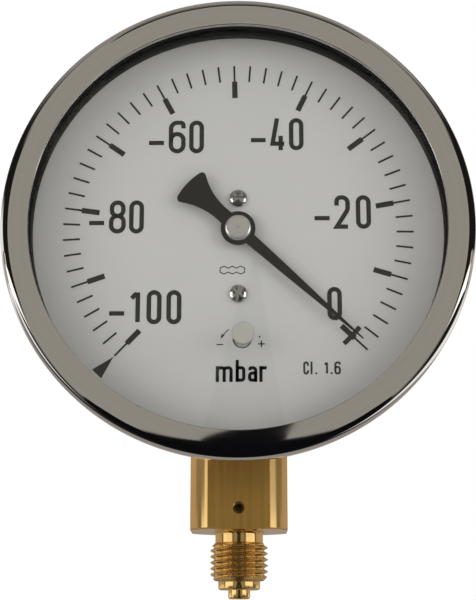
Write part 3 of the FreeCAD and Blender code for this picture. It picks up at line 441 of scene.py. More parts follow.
printInk = mottledFinish("printInk", (0.015, 0.015, 0.012), (0.009, 0.009, 0.008), 0.0, 0.6, patch=400.0,
                         bump=0.05, Specular_IOR_Level=0.1)
pointerPaint = mottledFinish("pointerPaint", (0.007, 0.007, 0.005), (0.005, 0.005, 0.004), 0.0, 0.5,
                             patch=260.0, grain=5000.0, bump=0.1, Specular_IOR_Level=0.05)
# pale finish of the zero screw and its bush: painted light that makes the zero hole behind the plug read
# lighter
holeFillPaintedLight = mottledFinish("holeFillPaintedLight", (0.78, 0.77, 0.72), (0.70, 0.69, 0.64), 0.0, 0.45, patch=300.0,
                          bump=0.05)
print("finishes made:", len(bpy.data.materials))


# Stem brass: drawn and dulled on the flats of the square, turned and bright everywhere else; the flats also get
# a darker, more olive colour, painted shade that stands in for the dark reflection they show

def makeStemBrass():
    v = {
        "turned": (0.83, 0.57, 0.23), "turnedDark": (0.74, 0.49, 0.18), "turnedMetal": 0.96, "turnedRough": 0.1,
        # the drawn colours are darker and more olive than the turned brass: painted shade for the dark
        # reflection on the flats
        "drawn": (0.68, 0.395, 0.10), "drawnDark": (0.53, 0.295, 0.068), "drawnMetal": 0.74, "drawnRough": 0.3,
        "flatFrom": 10.85, "flatTo": 10.97,
    }
    material, tree, shader = newFinish("stemBrass", v["turnedMetal"], v["turnedRough"])
    streaks = placeGroup(tree, streakGroup, Scale=(1.0, 1.0, 0.03), Fineness=1100.0, Contrast=2.2)
    rings = placeGroup(tree, ringGroup, Centre=(0, 0, 0), Along=(0, 0, 1), Fineness=1200.0, Contrast=0.5)
    place = addNode(tree, "ShaderNodeTexCoord")
    split = addNode(tree, "ShaderNodeSeparateXYZ")
    link(tree, place.outputs["Object"], split.inputs[0])
    width = mathNode(tree, "MAXIMUM", mathNode(tree, "ABSOLUTE", split.outputs[0]),
                     mathNode(tree, "ABSOLUTE", split.outputs[1]))
    onFlat = addNode(tree, "ShaderNodeMapRange")
    onFlat.inputs["From Min"].default_value = v["flatFrom"] * mm
    onFlat.inputs["From Max"].default_value = v["flatTo"] * mm
    link(tree, width, onFlat.inputs["Value"])
    flat = onFlat.outputs[0]
    turned = mixColour(tree, rings.outputs["Mask"], v["turnedDark"], v["turned"])
    drawn = mixColour(tree, streaks.outputs["Mask"], v["drawnDark"], v["drawn"])
    link(tree, mixColour(tree, flat, turned, drawn), shader.inputs["Base Color"])
    link(tree, rangeNode(tree, flat, v["turnedMetal"], v["drawnMetal"]), shader.inputs["Metallic"])
    link(tree, rangeNode(tree, flat, v["turnedRough"], v["drawnRough"]), shader.inputs["Roughness"])
    addBump(tree, shader, mathNode(tree, "MULTIPLY", streaks.outputs["Height"], flat), 0.03, 0.01)
    return material


def makeGlass():
    material, tree, shader = newFinish("paneGlass", 0.0, 0.0, IOR=1.5, Transmission_Weight=1.0,
                                       Specular_IOR_Level=0.09)
    node = placeGroup(tree, mottleGroup, Light=(1.0, 1.0, 1.0), Dark=(0.975, 0.985, 0.98), Patch_Scale=12.0,
                      Grain_Scale=900.0, Grain=0.1)
    link(tree, node.outputs["Color"], shader.inputs["Base Color"])
    path = addNode(tree, "ShaderNodeLightPath")
    letThrough(tree, shader, mathNode(tree, "MAXIMUM", path.outputs["Is Shadow Ray"],
                                      path.outputs["Is Diffuse Ray"]))
    return material


def makePlugPlastic():
    # milky plastic, warm where it is seen straight; towards its round edge the colour turns to a darker painted
    # shade, set by the angle it is seen at
    material, tree, shader = newFinish("plugPlastic", 0.0, 0.5, IOR=1.46, Transmission_Weight=0.15,
                                       Specular_IOR_Level=0.2)
    node = placeGroup(tree, mottleGroup, Light=(0.43, 0.43, 0.375), Dark=(0.40, 0.40, 0.35), Patch_Scale=300.0,
                      Grain_Scale=3000.0, Grain=0.3)
    facing = addNode(tree, "ShaderNodeLayerWeight")
    facing.inputs["Blend"].default_value = 0.45
    # painted shade: the colour darkens towards the rim as the surface turns away from the view
    edge = mixColour(tree, facing.outputs["Facing"], node.outputs["Color"], (0.36, 0.37, 0.37))
    link(tree, edge, shader.inputs["Base Color"])
    path = addNode(tree, "ShaderNodeLightPath")
    letThrough(tree, shader, mathNode(tree, "MULTIPLY", path.outputs["Is Shadow Ray"], 0.6))
    return material


stemBrass = makeStemBrass()
paneGlass = makeGlass()
plugPlastic = makePlugPlastic()


# CAD nodes whose shape is right keep it and get these finishes

def dressNodes():
    finishes = {
        "case": caseSteel, "window": paneGlass, "window_gasket": blackRubber, "spacer_ring": blackRing,
        "dial": dialPaint, "scale_marks": printInk, "pointer": pointerPaint,
        "dial_posts": movementBrass, "movement_front_plate": movementBrass,
        "movement_back_plate": movementBrass, "movement_pillars": movementBrass,
        "plate_screws": screwSteel, "pinion_arbor": screwSteel,
        "sector_gear": movementBrass, "sector_arbor": screwSteel, "sector_pin": screwSteel, "link": zincSteel,
        "rocker_shaft": screwSteel, "drive_arm": zincSteel, "rocker_pin": screwSteel, "push_arm": zincSteel,
        "bridge": zincSteel, "bridge_spacers": movementBrass, "carrier_screws": screwSteel,
        "capsule_front": springBronze, "capsule_back": springBronze, "capsule_boss": movementBrass,
        "capsule_inlet": movementBrass, "inlet_nut": movementBrass, "inlet_tube": springBronze,
        "capsule_plate": zincSteel, "stem_seal": blackRubber, "saddle_washer": zincSteel,
        "stem_nut": movementBrass, "vent_plug": blackRubber, "spring_collet": movementBrass,
        "hairspring": springBronze, "spring_stud": movementBrass, "zero_screw": holeFillPaintedLight,
        "zero_bush": holeFillPaintedLight,
    }
    for name, finish in finishes.items():
        mesh = nodes[name].data
        mesh.materials.clear()
        mesh.materials.append(finish)
    return len(finishes)


print("CAD nodes dressed:", dressNodes())


# Bezel: rolled and polished ring with a crowned face, round edge, bead and crimp

def makeBezel():
    v = {
        "outer": 52.0, "front": 10.4, "lip": 45.7, "lipFront": 10.36, "lipEnd": 7.6, "lipFlare": 0.45,
        "lipRound": 0.15, "sheet": 0.6, "crown": 0.0286, "edge": 1.9, "bead": 4.0, "slope": 1.2, "step": 1.3,
        "crimpEnd": 2.65, "crimpWidth": 1.9, "crimpRound": 1.1, "steps": 24,
    }
    start, end = v["lip"] + v["lipRound"], v["outer"] - v["edge"]
    path = [Vector((v["lip"] + v["lipFlare"], -v["lipEnd"]))]
    for k in range(v["steps"] + 1):
        across, along = polar(v["lipRound"], 90 * k / v["steps"])
        path.append(Vector((start - across, v["lipRound"] - v["lipFront"] - along)))
    for k in range(1, v["steps"] + 1):
        share = k / v["steps"]
        rise = (v["front"] - v["lipFront"]) * share + v["crown"] * 4 * share * (1 - share)
        path.append(Vector((start + (end - start) * share, -v["lipFront"] - rise)))
    for k in range(1, 2 * v["steps"] + 1):
        across, along = polar(v["edge"], 45 * k / v["steps"])
        path.append(Vector((end + along, v["edge"] - v["front"] - across)))
    skirt = v["outer"] - v["step"]
    path += roundedLine([
        (v["outer"], v["edge"] - v["front"] + 0.1, 0),
        (v["outer"], v["bead"] - v["front"], 1.0),
        (skirt, v["bead"] - v["front"] + v["slope"], 1.0),
        (skirt, v["crimpEnd"], v["crimpRound"]),
        (skirt - v["crimpWidth"], v["crimpEnd"], 0),
    ], steps=16)
    inner = []
    for i, point in enumerate(path):
        along = (path[min(i + 1, len(path) - 1)] - path[max(i - 1, 0)]).normalized()
        inner.append(point + Vector((-along.y, along.x)) * v["sheet"])
    profile = [(p.x, p.y) for p in path] + [(p.x, p.y) for p in reversed(inner)]
    mesh = spinMesh("bezelRing", profile, segments=320)
    return addPiece("bezelRing", mesh, "gauge", polishedSteel, ["bezel_ring"], sharp=40)


makeBezel()
print("bezel made")


# Numbers and signs. A glyph has its width, the space after it and its strokes, in shares of its box.

def makeLettering():
    glyphs = {
        "-": {"width": 0.435, "space": 0.14, "strokes": [([(0, 0.29, 0), (1, 0.29, 0)], False)]},
        "0": {"width": 0.43, "space": 0.14, "strokes": [([(0, 0, 1), (1, 0, 1), (1, 1, 1), (0, 1, 1)], True)]},
        "1": {"width": 0.31, "space": 0.19, "strokes": [([(1, 0, 0), (1, 1, 0)], False),
                                                        ([(0, 0.80, 0), (0.78, 0.97, 0)], False)]},
        "2": {"width": 0.445, "space": 0.17, "strokes": [
            ([(0, 0.72, 0), (0, 1, 1), (1, 1, 1), (1, 0.58, 1.4), (0, 0, 0), (1, 0, 0)], False)]},
        "4": {"width": 0.44, "space": 0.115, "strokes": [
            ([(0.44, 1.07, 0), (0, 0.16, 0), (1.12, 0.16, 0)], False),
            ([(0.78, 0.44, 0), (0.78, -0.07, 0)], False)]},
        "6": {"width": 0.49, "space": 0.105, "strokes": [
            ([(0, 0, 1), (1, 0, 1), (1, 0.60, 1), (0, 0.60, 1)], True),
            ([(0, 0.3, 0), (0, 1, 1), (1, 1, 1), (1, 0.80, 0)], False)]},
        "8": {"width": 0.49, "space": 0.095, "strokes": [
            ([(0, 0, 1), (1, 0, 1), (1, 0.535, 1), (0, 0.535, 1)], True),
            ([(0.04, 0.535, 1), (0.96, 0.535, 1), (0.96, 1, 1), (0.04, 1, 1)], True)]},
        "C": {"width": 0.43, "space": 0.13, "strokes": [
            ([(1, 0.70, 0), (1, 1, 1), (0, 1, 1), (0, 0, 1), (1, 0, 1), (1, 0.30, 0)], False)]},
        "l": {"width": 0.20, "space": 0.14, "strokes": [([(0, 1.08, 0), (0, 0, 0.6), (1, 0, 0)], False)]},
        ".": {"width": 0.17, "space": 0.13, "strokes": [([(0.5, -0.06, 0), (0.5, 0.10, 0)], False)]},
        " ": {"width": 0.24, "space": 0.14, "strokes": []},
        "m": {"width": 1.08, "space": 0.19, "strokes": [
            ([(0, -0.14, 0), (0, 1.14, 0)], False),
            ([(0, 0.88, 0), (0.13, 1, 0.5), (0.5, 1, 0.8), (0.5, -0.14, 0)], False),
            ([(0.5, 0.88, 0), (0.63, 1, 0.5), (1, 1, 0.8), (1, -0.14, 0)], False)]},
        "b": {"width": 0.62, "space": 0.17, "strokes": [
            ([(0, -0.14, 0), (0, 1.64, 0)], False),
            ([(0, 0.06, 0.3), (0.3, 0, 0.5), (1, 0, 1), (1, 1, 1), (0.3, 1, 0.5), (0, 0.94, 0.3)], True)]},
        "a": {"width": 0.59, "space": 0.13, "strokes": [
            ([(0.06, 0.80, 0), (0.06, 1, 0.9), (1, 1, 1), (1, -0.14, 0)], False),
            ([(1, 0.57, 0.2), (0, 0.57, 0.9), (0, 0, 0.9), (0.7, 0, 0.5), (1, 0.08, 0.3)], True)]},
        "r": {"width": 0.54, "space": 0.1, "strokes": [
            ([(0, -0.14, 0), (0, 1.14, 0)], False), ([(0, 0.84, 0), (0.3, 1, 0.8), (1.1, 1, 0)], False)]},
    }
    texts = [
        {"text": "-100", "left": -28.46, "base": -21.30, "tall": 7.68, "stroke": 1.0},
        {"text": "-80", "left": -33.37, "base": -0.63, "tall": 7.70, "stroke": 1.0},
        {"text": "-60", "left": -20.25, "base": 18.17, "tall": 7.80, "stroke": 1.0},
        {"text": "-40", "left": 2.91, "base": 18.82, "tall": 7.66, "stroke": 1.0},
        {"text": "-20", "left": 17.11, "base": 0.35, "tall": 7.80, "stroke": 1.0},
        {"text": "0", "left": 19.66, "base": -20.47, "tall": 7.51, "stroke": 1.0},
        {"text": "mbar", "left": -4.89, "base": -34.08, "tall": 3.42, "stroke": 0.70},
        {"text": "Cl. 1.6", "left": 14.21, "base": -32.50, "tall": 2.85, "stroke": 0.42},
    ]
    ink = 0.05
    quads = []
    for text in texts:
        x = text["left"]
        half = text["stroke"] / 2
        tall = text["tall"] - 2 * half
        for letter in text["text"]:
            glyph = glyphs[letter]
            wide = glyph["width"] * text["tall"] - 2 * half
            if letter == "-":
                x, wide = x - half, wide + 2 * half
            for stroke, closed in glyph["strokes"]:
                radius = wide * (0.25 if letter == "m" else 0.5)
                points = [(x + half + px * wide, text["base"] + half + pz * tall, bend * radius)
                          for px, pz, bend in stroke]
                quads += ribbonOutline(roundedLine(points, closed=closed), text["stroke"], closed)
            if letter == "-":
                x += half
                wide -= 2 * half
            x += wide + 2 * half + glyph["space"] * text["tall"]
    mesh = printMesh("dialNumbers", quads, -ink, ink)
    return addPiece("dialNumbers", mesh, "gauge", printInk)


def makeSigns():
    # capsule sign under the hub, and the arc with - and + at the zero adjuster
    v = {"ink": 0.05, "thin": 0.2, "plus": 0.24, "signCentre": (-1.28, -9.09), "signHalf": 2.72,
         "lobes": 3, "peak": 0.9, "valley": 0.42, "endHeight": 0.5, "corner": 0.08,
         "minusCentre": (-4.0, -25.86), "minusHalf": 0.75, "plusCentre": (5.1, -25.72), "plusHalf": 0.74,
         "arc": [(-2.05, -22.5), (-2.55, -22.9), (-3.0, -23.4), (-3.4, -24.0)],
         "tip": (-3.9, -24.62), "tipLength": (0.62, 0.98), "tipHalf": (0.30, -0.19),
         "dot": [(4.6, -23.98), (4.84, -24.26)], "dotWidth": 0.3}
    cx, cz = v["signCentre"]
    lobe = 2 * v["signHalf"] / v["lobes"]
    top = [(cx - v["signHalf"], cz + v["endHeight"])]
    for k in range(v["lobes"]):
        start = cx - v["signHalf"] + k * lobe
        top.append((start + lobe / 2, cz + v["peak"]))
        if k < v["lobes"] - 1:
            top.append((start + lobe, cz + v["valley"]))
    top.append((cx + v["signHalf"], cz + v["endHeight"]))
    loop = [(x, z, v["corner"]) for x, z in top + [(x, 2 * cz - z) for x, z in reversed(top)]]
    quads = ribbonOutline(roundedLine(loop, steps=2, closed=True), v["thin"], True)
    bars = [(v["minusCentre"], (v["minusHalf"], 0)), (v["plusCentre"], (v["plusHalf"], 0)),
            (v["plusCentre"], (0, v["plusHalf"]))]
    for centre, half in bars:
        quads += ribbonOutline([Vector(centre) - Vector(half), Vector(centre) + Vector(half)], v["plus"])
    quads += ribbonOutline([Vector(point) for point in v["arc"]], v["thin"])
    tip, along, aside = Vector(v["tip"]), Vector(v["tipLength"]), Vector(v["tipHalf"])
    quads += [(tip, tip + along - aside, tip + along * 0.9, tip + along + aside)]
    quads += ribbonOutline([Vector(point) for point in v["dot"]], v["dotWidth"])
    mesh = printMesh("dialSigns", quads, -v["ink"], v["ink"])
    return addPiece("dialSigns", mesh, "gauge", printInk)


makeLettering()
makeSigns()
print("dial printed")


# Slotted dial screws with domed heads

def makeDialScrews():
    v = {"places": [(7.4, 0.0), (-14.5, 80.0)], "head": 2.05, "rise": 1.1, "side": 0.35, "shank": 0.9,
         "reach": 3.4, "slot": 0.5, "slotDeep": 0.5, "seat": 0.02, "steps": 8}
    meshes = []
    for height, turn in v["places"]:
        dome = []
        for k in range(v["steps"] + 1):
            angle = math.radians(90 * k / v["steps"])
            dome.append((v["head"] * math.sin(angle), -v["side"] - (v["rise"] - v["side"]) * math.cos(angle)))
        profile = dome + [(v["head"], -v["seat"]), (v["shank"], 0.0), (v["shank"], v["reach"]), (0, v["reach"])]
        head = spinMesh("screwHead", profile, segments=96, base=gaugePoint(0, 0, height))
        cutter = bpy.data.meshes.new("slotCutter")
        work = bmesh.new()
        bmesh.ops.create_cube(work, size=1)
        slotSize = Vector((3 * v["head"], 2 * v["slotDeep"], v["slot"])) * mm
        slotTurn = Matrix.Rotation(-math.radians(turn), 3, "Y")
        bmesh.ops.scale(work, verts=work.verts, vec=slotSize)
        bmesh.ops.rotate(work, verts=work.verts, cent=(0, 0, 0), matrix=slotTurn)
        bmesh.ops.translate(work, verts=work.verts, vec=gaugePoint(0, -v["rise"], height))
        work.to_mesh(cutter)
        work.free()
        meshes.append(cutMesh(head, [cutter]))
    mesh = joinMeshes("dialScrews", meshes)
    return addPiece("dialScrews", mesh, "gauge", screwSteel, ["dial_screws"], sharp=35)


makeDialScrews()


# Bush in the pointer: flat cap with a round edge and a centre mark, and the sleeve behind it

def makeBush():
    v = {"front": -3.1, "seat": -2.3, "cap": 2.93, "round": 0.58, "sleeve": 1.4, "bore": 0.45, "end": 0.0,
         "mark": 0.32, "markFoot": 0.24, "markDeep": 0.45, "skin": 0.6, "steps": 12}
    profile = [(0, v["front"] + v["markDeep"]), (v["markFoot"], v["front"] + v["markDeep"]),
               (v["mark"], v["front"])]
    for k in range(v["steps"] + 1):
        across, along = polar(v["round"], 90 * k / v["steps"])
        profile.append((v["cap"] - v["round"] + along, v["front"] + v["round"] - across))
    profile += [(v["cap"], v["seat"]), (v["sleeve"], v["seat"]), (v["sleeve"], v["end"]), (v["bore"], v["end"]),
                (v["bore"], v["front"] + v["skin"]), (0, v["front"] + v["skin"])]
    mesh = spinMesh("pointerBush", profile, segments=128)
    return addPiece("pointerBush", mesh, "pointer", bushSteel, ["pointer_bush"], sharp=35)


makeBush()


# Zero plug: soft translucent button in the pane

def makePlug():
    v = {"place": (1.13, -24.55), "pin": 1.78, "head": 2.46, "headFront": -7.9, "pane": -7.1,
         "paneBack": -4.1, "bead": 2.1, "beadEnd": -3.8, "round": 0.78, "end": -3.3}
    outline = roundedLine([
        (0, v["headFront"], 0),
        (v["head"], v["headFront"], v["round"]),
        (v["head"], v["pane"], 0),
        (v["pin"], v["pane"], 0),
        (v["pin"], v["paneBack"], 0),
        (v["bead"], v["paneBack"], 0.1),
        (v["bead"], v["beadEnd"], 0.1),
        (v["pin"], v["beadEnd"], 0),
        (v["pin"], v["end"], 0.2),
        (0, v["end"], 0),
    ], steps=12)
    mesh = spinMesh("zeroPlug", [tuple(p) for p in outline], segments=96,
                    base=gaugePoint(v["place"][0], 0, v["place"][1]))
    return addPiece("zeroPlug", mesh, "gauge", plugPlastic, ["zero_plug"])


makePlug()


# Stem: the square comes from the CAD solid; neck, true thread, spigot and pilot are turned anew below it

def makeStem():
    v = {
        "thread": 6.5785, "half": 4.15, "pitch": 1.337, "threadDeep": 0.84, "neck": 5.45, "shoulder": 6.75,
        "spigot": 4.75, "spigotEnd": -6.25, "pilot": 2.5, "pilotEnd": -8.25, "port": 1.25,
        "edge": 0.35, "cutAbove": 0.7, "around": 160, "perPitch": 20, "lead": 0.95, "root": 0.9,
        "ridgeSlope": 1.32, "ridgeFlat": 0.16, "ridgeRound": 0.45, "runOut": 0.12, "relief": 0.35,
    }
    upper = bmesh.new()
    upper.from_mesh(nodes["stem"].data)
    plane = (v["shoulder"] - v["cutAbove"]) * mm
    bmesh.ops.bisect_plane(upper, geom=upper.verts[:] + upper.edges[:] + upper.faces[:], plane_co=(0, 0, plane),
                           plane_no=(0, 0, 1), clear_inner=True)
    upperMesh = bpy.data.meshes.new("stemUpper")
    upper.to_mesh(upperMesh)
    upper.free()
    # the rows of the thread follow the helix, so that its flanks stay smooth
    lap, around = v["perPitch"], v["around"]
    rows = int(2 * v["half"] / v["pitch"] * lap) + 1 + lap
    verts, faces = [], []
    for row in range(rows + 1):
        ridge = 1 - abs(2 * (row % lap / lap) - 1)
        ridge = min(max(v["ridgeSlope"] * ridge - v["ridgeFlat"], 0.0), 1.0)
        smooth = ridge * ridge * (3 - 2 * ridge)
        ridge += (smooth - ridge) * v["ridgeRound"]
        for k in range(around):
            turn = 2 * math.pi * k / around
            z = v["pitch"] * (row / lap + k / around - 1) - v["half"]
            z = min(max(z, -v["half"]), v["half"])
            envelope = v["thread"] - max(0.0, v["lead"] - min(z + v["half"], v["half"] - z))
            radius = min(envelope, v["thread"] - v["threadDeep"] * (1 - ridge))
            verts.append((radius * math.cos(turn) * mm, radius * math.sin(turn) * mm, z * mm))
    for row in range(rows):
        for k in range(around - 1):
            a = row * around + k
            faces.append((a, a + 1, a + 1 + around, a + around))
        if row + lap < rows:
            a, b = row * around + around - 1, (row + lap) * around
            faces.append((a, b, b + around, a + around))
    thread = bpy.data.meshes.new("stemThread")
    thread.from_pydata(verts, [], faces)
    cleanMesh(thread)
    low = -v["half"]
    neckTop = v["shoulder"] - v["cutAbove"]
    core = v["thread"] - v["root"]
    neckLine = [(v["port"], v["half"]), (core, v["half"]), (v["neck"], v["half"] + v["runOut"]),
                (v["neck"], neckTop), (v["port"], neckTop)]
    neckPart = spinMesh("stemNeck", neckLine, segments=around, axis="Z", base=Vector((0, 0, 0)))
    outline = roundedLine([
        (v["port"], v["pilotEnd"], 0),
        (v["pilot"] - v["edge"], v["pilotEnd"], 0.1),
        (v["pilot"], v["pilotEnd"] + v["edge"], 0.1),
        (v["pilot"], v["spigotEnd"], 0),
        (v["spigot"] - v["edge"], v["spigotEnd"], 0.1),
        (v["spigot"], v["spigotEnd"] + v["edge"], 0.1),
        (v["spigot"], low - v["relief"], 0),
        (v["spigot"] + v["relief"], low, 0),
        (core, low, 0),
        (v["port"], low, 0),
    ], steps=3)
    lower = spinMesh("stemLower", [tuple(point) for point in outline], segments=around, axis="Z",
                     base=Vector((0, 0, 0)))
    mesh = joinMeshes("stemBody", [upperMesh, thread, neckPart, lower])
    return addPiece("stemBody", mesh, "gauge", stemBrass, ["stem"], sharp=28)


makeStem()
print("stem made")


# Stage, light and camera

def studioWorld():
    # Plain even light on the object. Metal and glass see a studio: pale cloth in front, a dark table with a
    # tripod under it, dark room at both sides, white walls low down, a grey ceiling and a grey backdrop.
    # Spans are (low, high, softness) in degrees, of height above the horizon or of turn away from the front.
    far = 400
    lowerStrip, upperStrip = (-3.0, 4.3, 0.3), (4.3, 7.5, 0.3)
    core = (0.02, 0.012, 0.004)
    v = {
        "daylight": (0.74, 0.74, 0.74), "dark": (0.010, 0.010, 0.009), "table": (0.004, 0.004, 0.005),
        "cloth": (0.335, 0.318, 0.283), "wall": (1.0, 0.99, 0.97),
        "far": [
            {"colour": (0.320, 0.290, 0.275), "height": (46, far, 10), "turn": (-far, far, 1)},
            {"colour": (0.130, 0.120, 0.115), "height": (40, 62, 5), "turn": (-far, 42.5, 17.5)},
            {"colour": (0.130, 0.125, 0.120), "height": (18, 36, 3), "turn": (132.5, far, 17.5)},
            {"colour": (0.320, 0.300, 0.290), "height": (-far, 0, 6), "turn": (93, far, 17)},
        ],
        "near": [
            {"colour": (0.50, 0.44, 0.38), "height": (-0.5, 7.5, 0.5), "turn": (75, 142, 4)},
            {"colour": core, "height": lowerStrip, "turn": (-far, 32, 2)},
            {"colour": (1.5, 1.48, 1.45), "height": lowerStrip, "turn": (33, 82, 1.5)},
            {"colour": (0.14, 0.13, 0.12), "height": lowerStrip, "turn": (82, 91, 1)},
            {"colour": core, "height": upperStrip, "turn": (-far, 65.5, 1.5)},
            {"colour": (0.24, 0.21, 0.18), "height": upperStrip, "turn": (73, 98, 2)},
            {"colour": (1.05, 1.02, 0.98), "height": upperStrip, "turn": (66.5, 74, 1), "side": "left"},
            {"colour": (0.62, 0.60, 0.60), "height": upperStrip, "turn": (66.5, 80, 2), "side": "right"},
            {"colour": (0.36, 0.30, 0.26), "height": (-32, 15, 3), "turn": (143, far, 5)},
            {"colour": (0.90, 0.80, 0.70), "height": (38, 50, 1), "turn": (152, far, 4)},
        ],
        "wallHeight": (-14, 10, 4), "wallTurn": (56, 152, 6), "leftRise": (50, 90, 0.85, -68.5),
        "rightRise": (55, 150, 0.55, -72.25), "clothTurn": 0.46, "clothHeight": 15.0, "clothWiden": 0.4,
        "clothEdge": (11.0, 12.3), "cornerSlant": (0.4, 1.35, 0.1), "cornerEnd": (20, 46), "tableEdge": 7.9,
        "tableBend": 5.0, "tableFall": 0.5, "tableFarFall": 0.9, "tripodLeft": (1.5, 3.0),
        "tripodRight": (1.85, 5.5), "blur": 0.12, "blurGrowth": 0.06, "underEdge": 0.3, "underTurn": (30, 60),
    }
    world = bpy.data.worlds.new("studio")
    bpy.context.scene.world = world
    world.cycles.sampling_method = "NONE"
    world.use_nodes = True
    tree = world.node_tree
    tree.nodes.clear()
    place = addNode(tree, "ShaderNodeTexCoord")
    split = addNode(tree, "ShaderNodeSeparateXYZ")
    link(tree, place.outputs["Generated"], split.inputs[0])
    x, y, z = split.outputs
    toDegrees = 180 / math.pi
    elevation = mathNode(tree, "MULTIPLY", mathNode(tree, "ARCSINE", z), toDegrees)
    forward = mathNode(tree, "MULTIPLY", y, -1.0)
    azimuth = mathNode(tree, "MULTIPLY", mathNode(tree, "ARCTAN2", x, forward), toDegrees)
    sideways = mathNode(tree, "ABSOLUTE", azimuth)

    def ramp(value, low, high):
        node = addNode(tree, "ShaderNodeMapRange", interpolation_type="SMOOTHSTEP")
        node.inputs["From Min"].default_value = low
        node.inputs["From Max"].default_value = high
        link(tree, value, node.inputs["Value"])
        return node.outputs[0]

    def window(value, low, high, soft):
        return both(ramp(value, low - soft, low + soft), less(ramp(value, high - soft, high + soft)))

    def both(a, b):
        return mathNode(tree, "MULTIPLY", a, b)

    def plus(a, b):
        return mathNode(tree, "ADD", a, b)

    def minus(a, b):
        return mathNode(tree, "SUBTRACT", a, b)

    def less(value):
        return minus(1.0, value)

    def least(a, b):
        return mathNode(tree, "MINIMUM", a, b)

    def most(a, b):
        return mathNode(tree, "MAXIMUM", a, b)

    onRight = mathNode(tree, "GREATER_THAN", azimuth, 0.0)
    sides = {"left": less(onRight), "right": onRight}

    def hang(room, panels):
        for panel in panels:
            mask = both(window(elevation, *panel["height"]), window(sideways, *panel["turn"]))
            if "side" in panel:
                mask = both(mask, sides[panel["side"]])
            room = mixColour(tree, mask, room, panel["colour"])
        return room

    def wallRise(start, end, slope, base):
        return plus(both(least(most(sideways, start), end), slope), base)

    room = hang(v["dark"], v["far"])

    # white walls, one on each side; the left one stands higher
    leftRise = wallRise(*v["leftRise"])
    middle = plus(leftRise, both(onRight, minus(wallRise(*v["rightRise"]), leftRise)))
    wall = window(minus(elevation, middle), *v["wallHeight"])
    room = mixColour(tree, both(wall, window(sideways, *v["wallTurn"])), room, v["wall"])

    # panels at the level of the stem: the lower strip is mirrored by the turned parts, the upper one by the
    # corners of the square; then the backdrop and a lamp behind
    room = hang(room, v["near"])

    # the cloth in front is a round patch with four fading corners
    azimuth = plus(azimuth, v["clothTurn"])
    sideways = mathNode(tree, "ABSOLUTE", azimuth)
    rise = minus(elevation, v["clothHeight"])
    across = both(azimuth, less(both(onRight, v["clothWiden"])))
    reach = mathNode(tree, "SQRT", plus(both(rise, rise), both(across, across)))
    slant = mathNode(tree, "DIVIDE", mathNode(tree, "ABSOLUTE", rise), most(sideways, 0.5))
    corners = both(window(slant, *v["cornerSlant"]), less(ramp(sideways, *v["cornerEnd"])))
    patch = most(less(ramp(reach, *v["clothEdge"])), corners)

    # the table's edge falls away to both sides and the tripod stands on it
    nearFall = both(least(sideways, v["tableBend"]), v["tableFall"])
    farFall = both(most(minus(sideways, v["tableBend"]), 0.0), v["tableFarFall"])
    above = plus(minus(elevation, v["tableEdge"]), plus(nearFall, farFall))
    leftFoot, leftSlope = v["tripodLeft"]
    rightFoot, rightSlope = v["tripodRight"]
    flanks = least(both(plus(azimuth, leftFoot), leftSlope), both(minus(rightFoot, azimuth), rightSlope))
    clear = minus(above, most(flanks, 0.0))
    blur = plus(both(sideways, v["blurGrowth"]), v["blur"])
    lit = ramp(mathNode(tree, "DIVIDE", clear, blur), -1, 1)
    room = mixColour(tree, both(patch, lit), room, v["cloth"])
    under = both(less(ramp(clear, -v["underEdge"], 0.0)), less(ramp(sideways, *v["underTurn"])))
    room = mixColour(tree, under, room, v["table"])

    # seen directly or through the pane the background is white; mirrored rays see the room, the rest daylight
    path = addNode(tree, "ShaderNodeLightPath")
    mirrored = least(path.outputs["Glossy Depth"], 1.0)
    scattered = least(path.outputs["Diffuse Depth"], 1.0)
    sees = mathNode(tree, "SUBTRACT", mirrored, scattered, clamp=True)
    turnedBack = most(mirrored, scattered)
    direct = mathNode(tree, "SUBTRACT", path.outputs["Is Transmission Ray"], turnedBack, clamp=True)
    white = most(path.outputs["Is Camera Ray"], direct)
    colour = mixColour(tree, white, mixColour(tree, sees, v["daylight"], room), (1.0, 1.0, 1.0))
    background = addNode(tree, "ShaderNodeBackground")
    link(tree, colour, background.inputs["Color"])
    output = addNode(tree, "ShaderNodeOutputWorld")
    link(tree, background.outputs[0], output.inputs["Surface"])


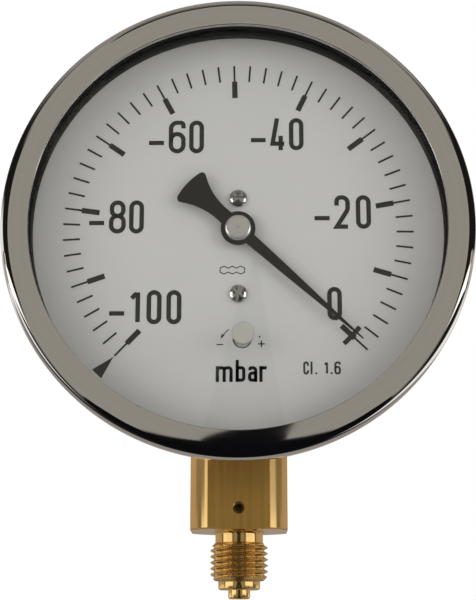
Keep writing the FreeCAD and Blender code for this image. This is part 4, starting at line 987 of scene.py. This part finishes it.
def makeFloor():
    v = {"height": -0.06, "half": 3.0}
    corners = [(-1, -1), (1, -1), (1, 1), (-1, 1)]
    mesh = bpy.data.meshes.new("floor")
    mesh.from_pydata([(x * v["half"], y * v["half"], v["height"]) for x, y in corners], [], [(0, 1, 2, 3)])
    material, tree, shader = newFinish("floorPaper", 0.0, 0.9)
    node = placeGroup(tree, mottleGroup, Light=(0.93, 0.93, 0.93), Dark=(0.90, 0.90, 0.90), Patch_Scale=3.0,
                      Grain_Scale=400.0, Grain=0.2)
    link(tree, node.outputs["Color"], shader.inputs["Base Color"])
    path = addNode(tree, "ShaderNodeLightPath")
    letThrough(tree, shader, path.outputs["Is Glossy Ray"])
    mesh.materials.append(material)
    floor = bpy.data.objects.new("floor", mesh)
    bpy.context.scene.collection.objects.link(floor)
    return floor


def addLamps():
    # one soft square lamp on each side of the camera
    v = {"names": ("softLeft", "softRight"), "across": 0.85, "front": -0.7, "height": 0.12,
         "target": (0, -0.02, 0.06), "size": 0.6, "power": 3.4}
    for name, side in zip(v["names"], (-1, 1)):
        light = bpy.data.lights.new(name, "AREA")
        light.shape = "SQUARE"
        light.size = v["size"]
        light.energy = v["power"]
        lamp = bpy.data.objects.new(name, light)
        lamp.location = (side * v["across"], v["front"], v["height"])
        lamp.rotation_euler = (Vector(v["target"]) - lamp.location).to_track_quat("-Z", "Y").to_euler()
        lamp.visible_glossy = False
        bpy.context.scene.collection.objects.link(lamp)


def addCamera():
    # the camera looks up from below the gauge
    v = {"place": (0.0028, -0.3513, -0.0158), "tilt": 105.01, "turn": 0.5, "lens": 90.1, "sensor": 36.0,
         "shift": -0.115}
    camera = bpy.data.cameras.new("camera")
    camera.lens = v["lens"]
    camera.sensor_width = v["sensor"]
    camera.shift_y = v["shift"]
    camera.clip_start = 0.01
    holder = bpy.data.objects.new("camera", camera)
    holder.location = v["place"]
    holder.rotation_euler = (math.radians(v["tilt"]), 0, math.radians(v["turn"]))
    bpy.context.scene.collection.objects.link(holder)
    bpy.context.scene.camera = holder
    return holder


studioWorld()
makeFloor()
addLamps()
addCamera()
bpy.context.scene.view_settings.view_transform = "Standard"
print("stage set")
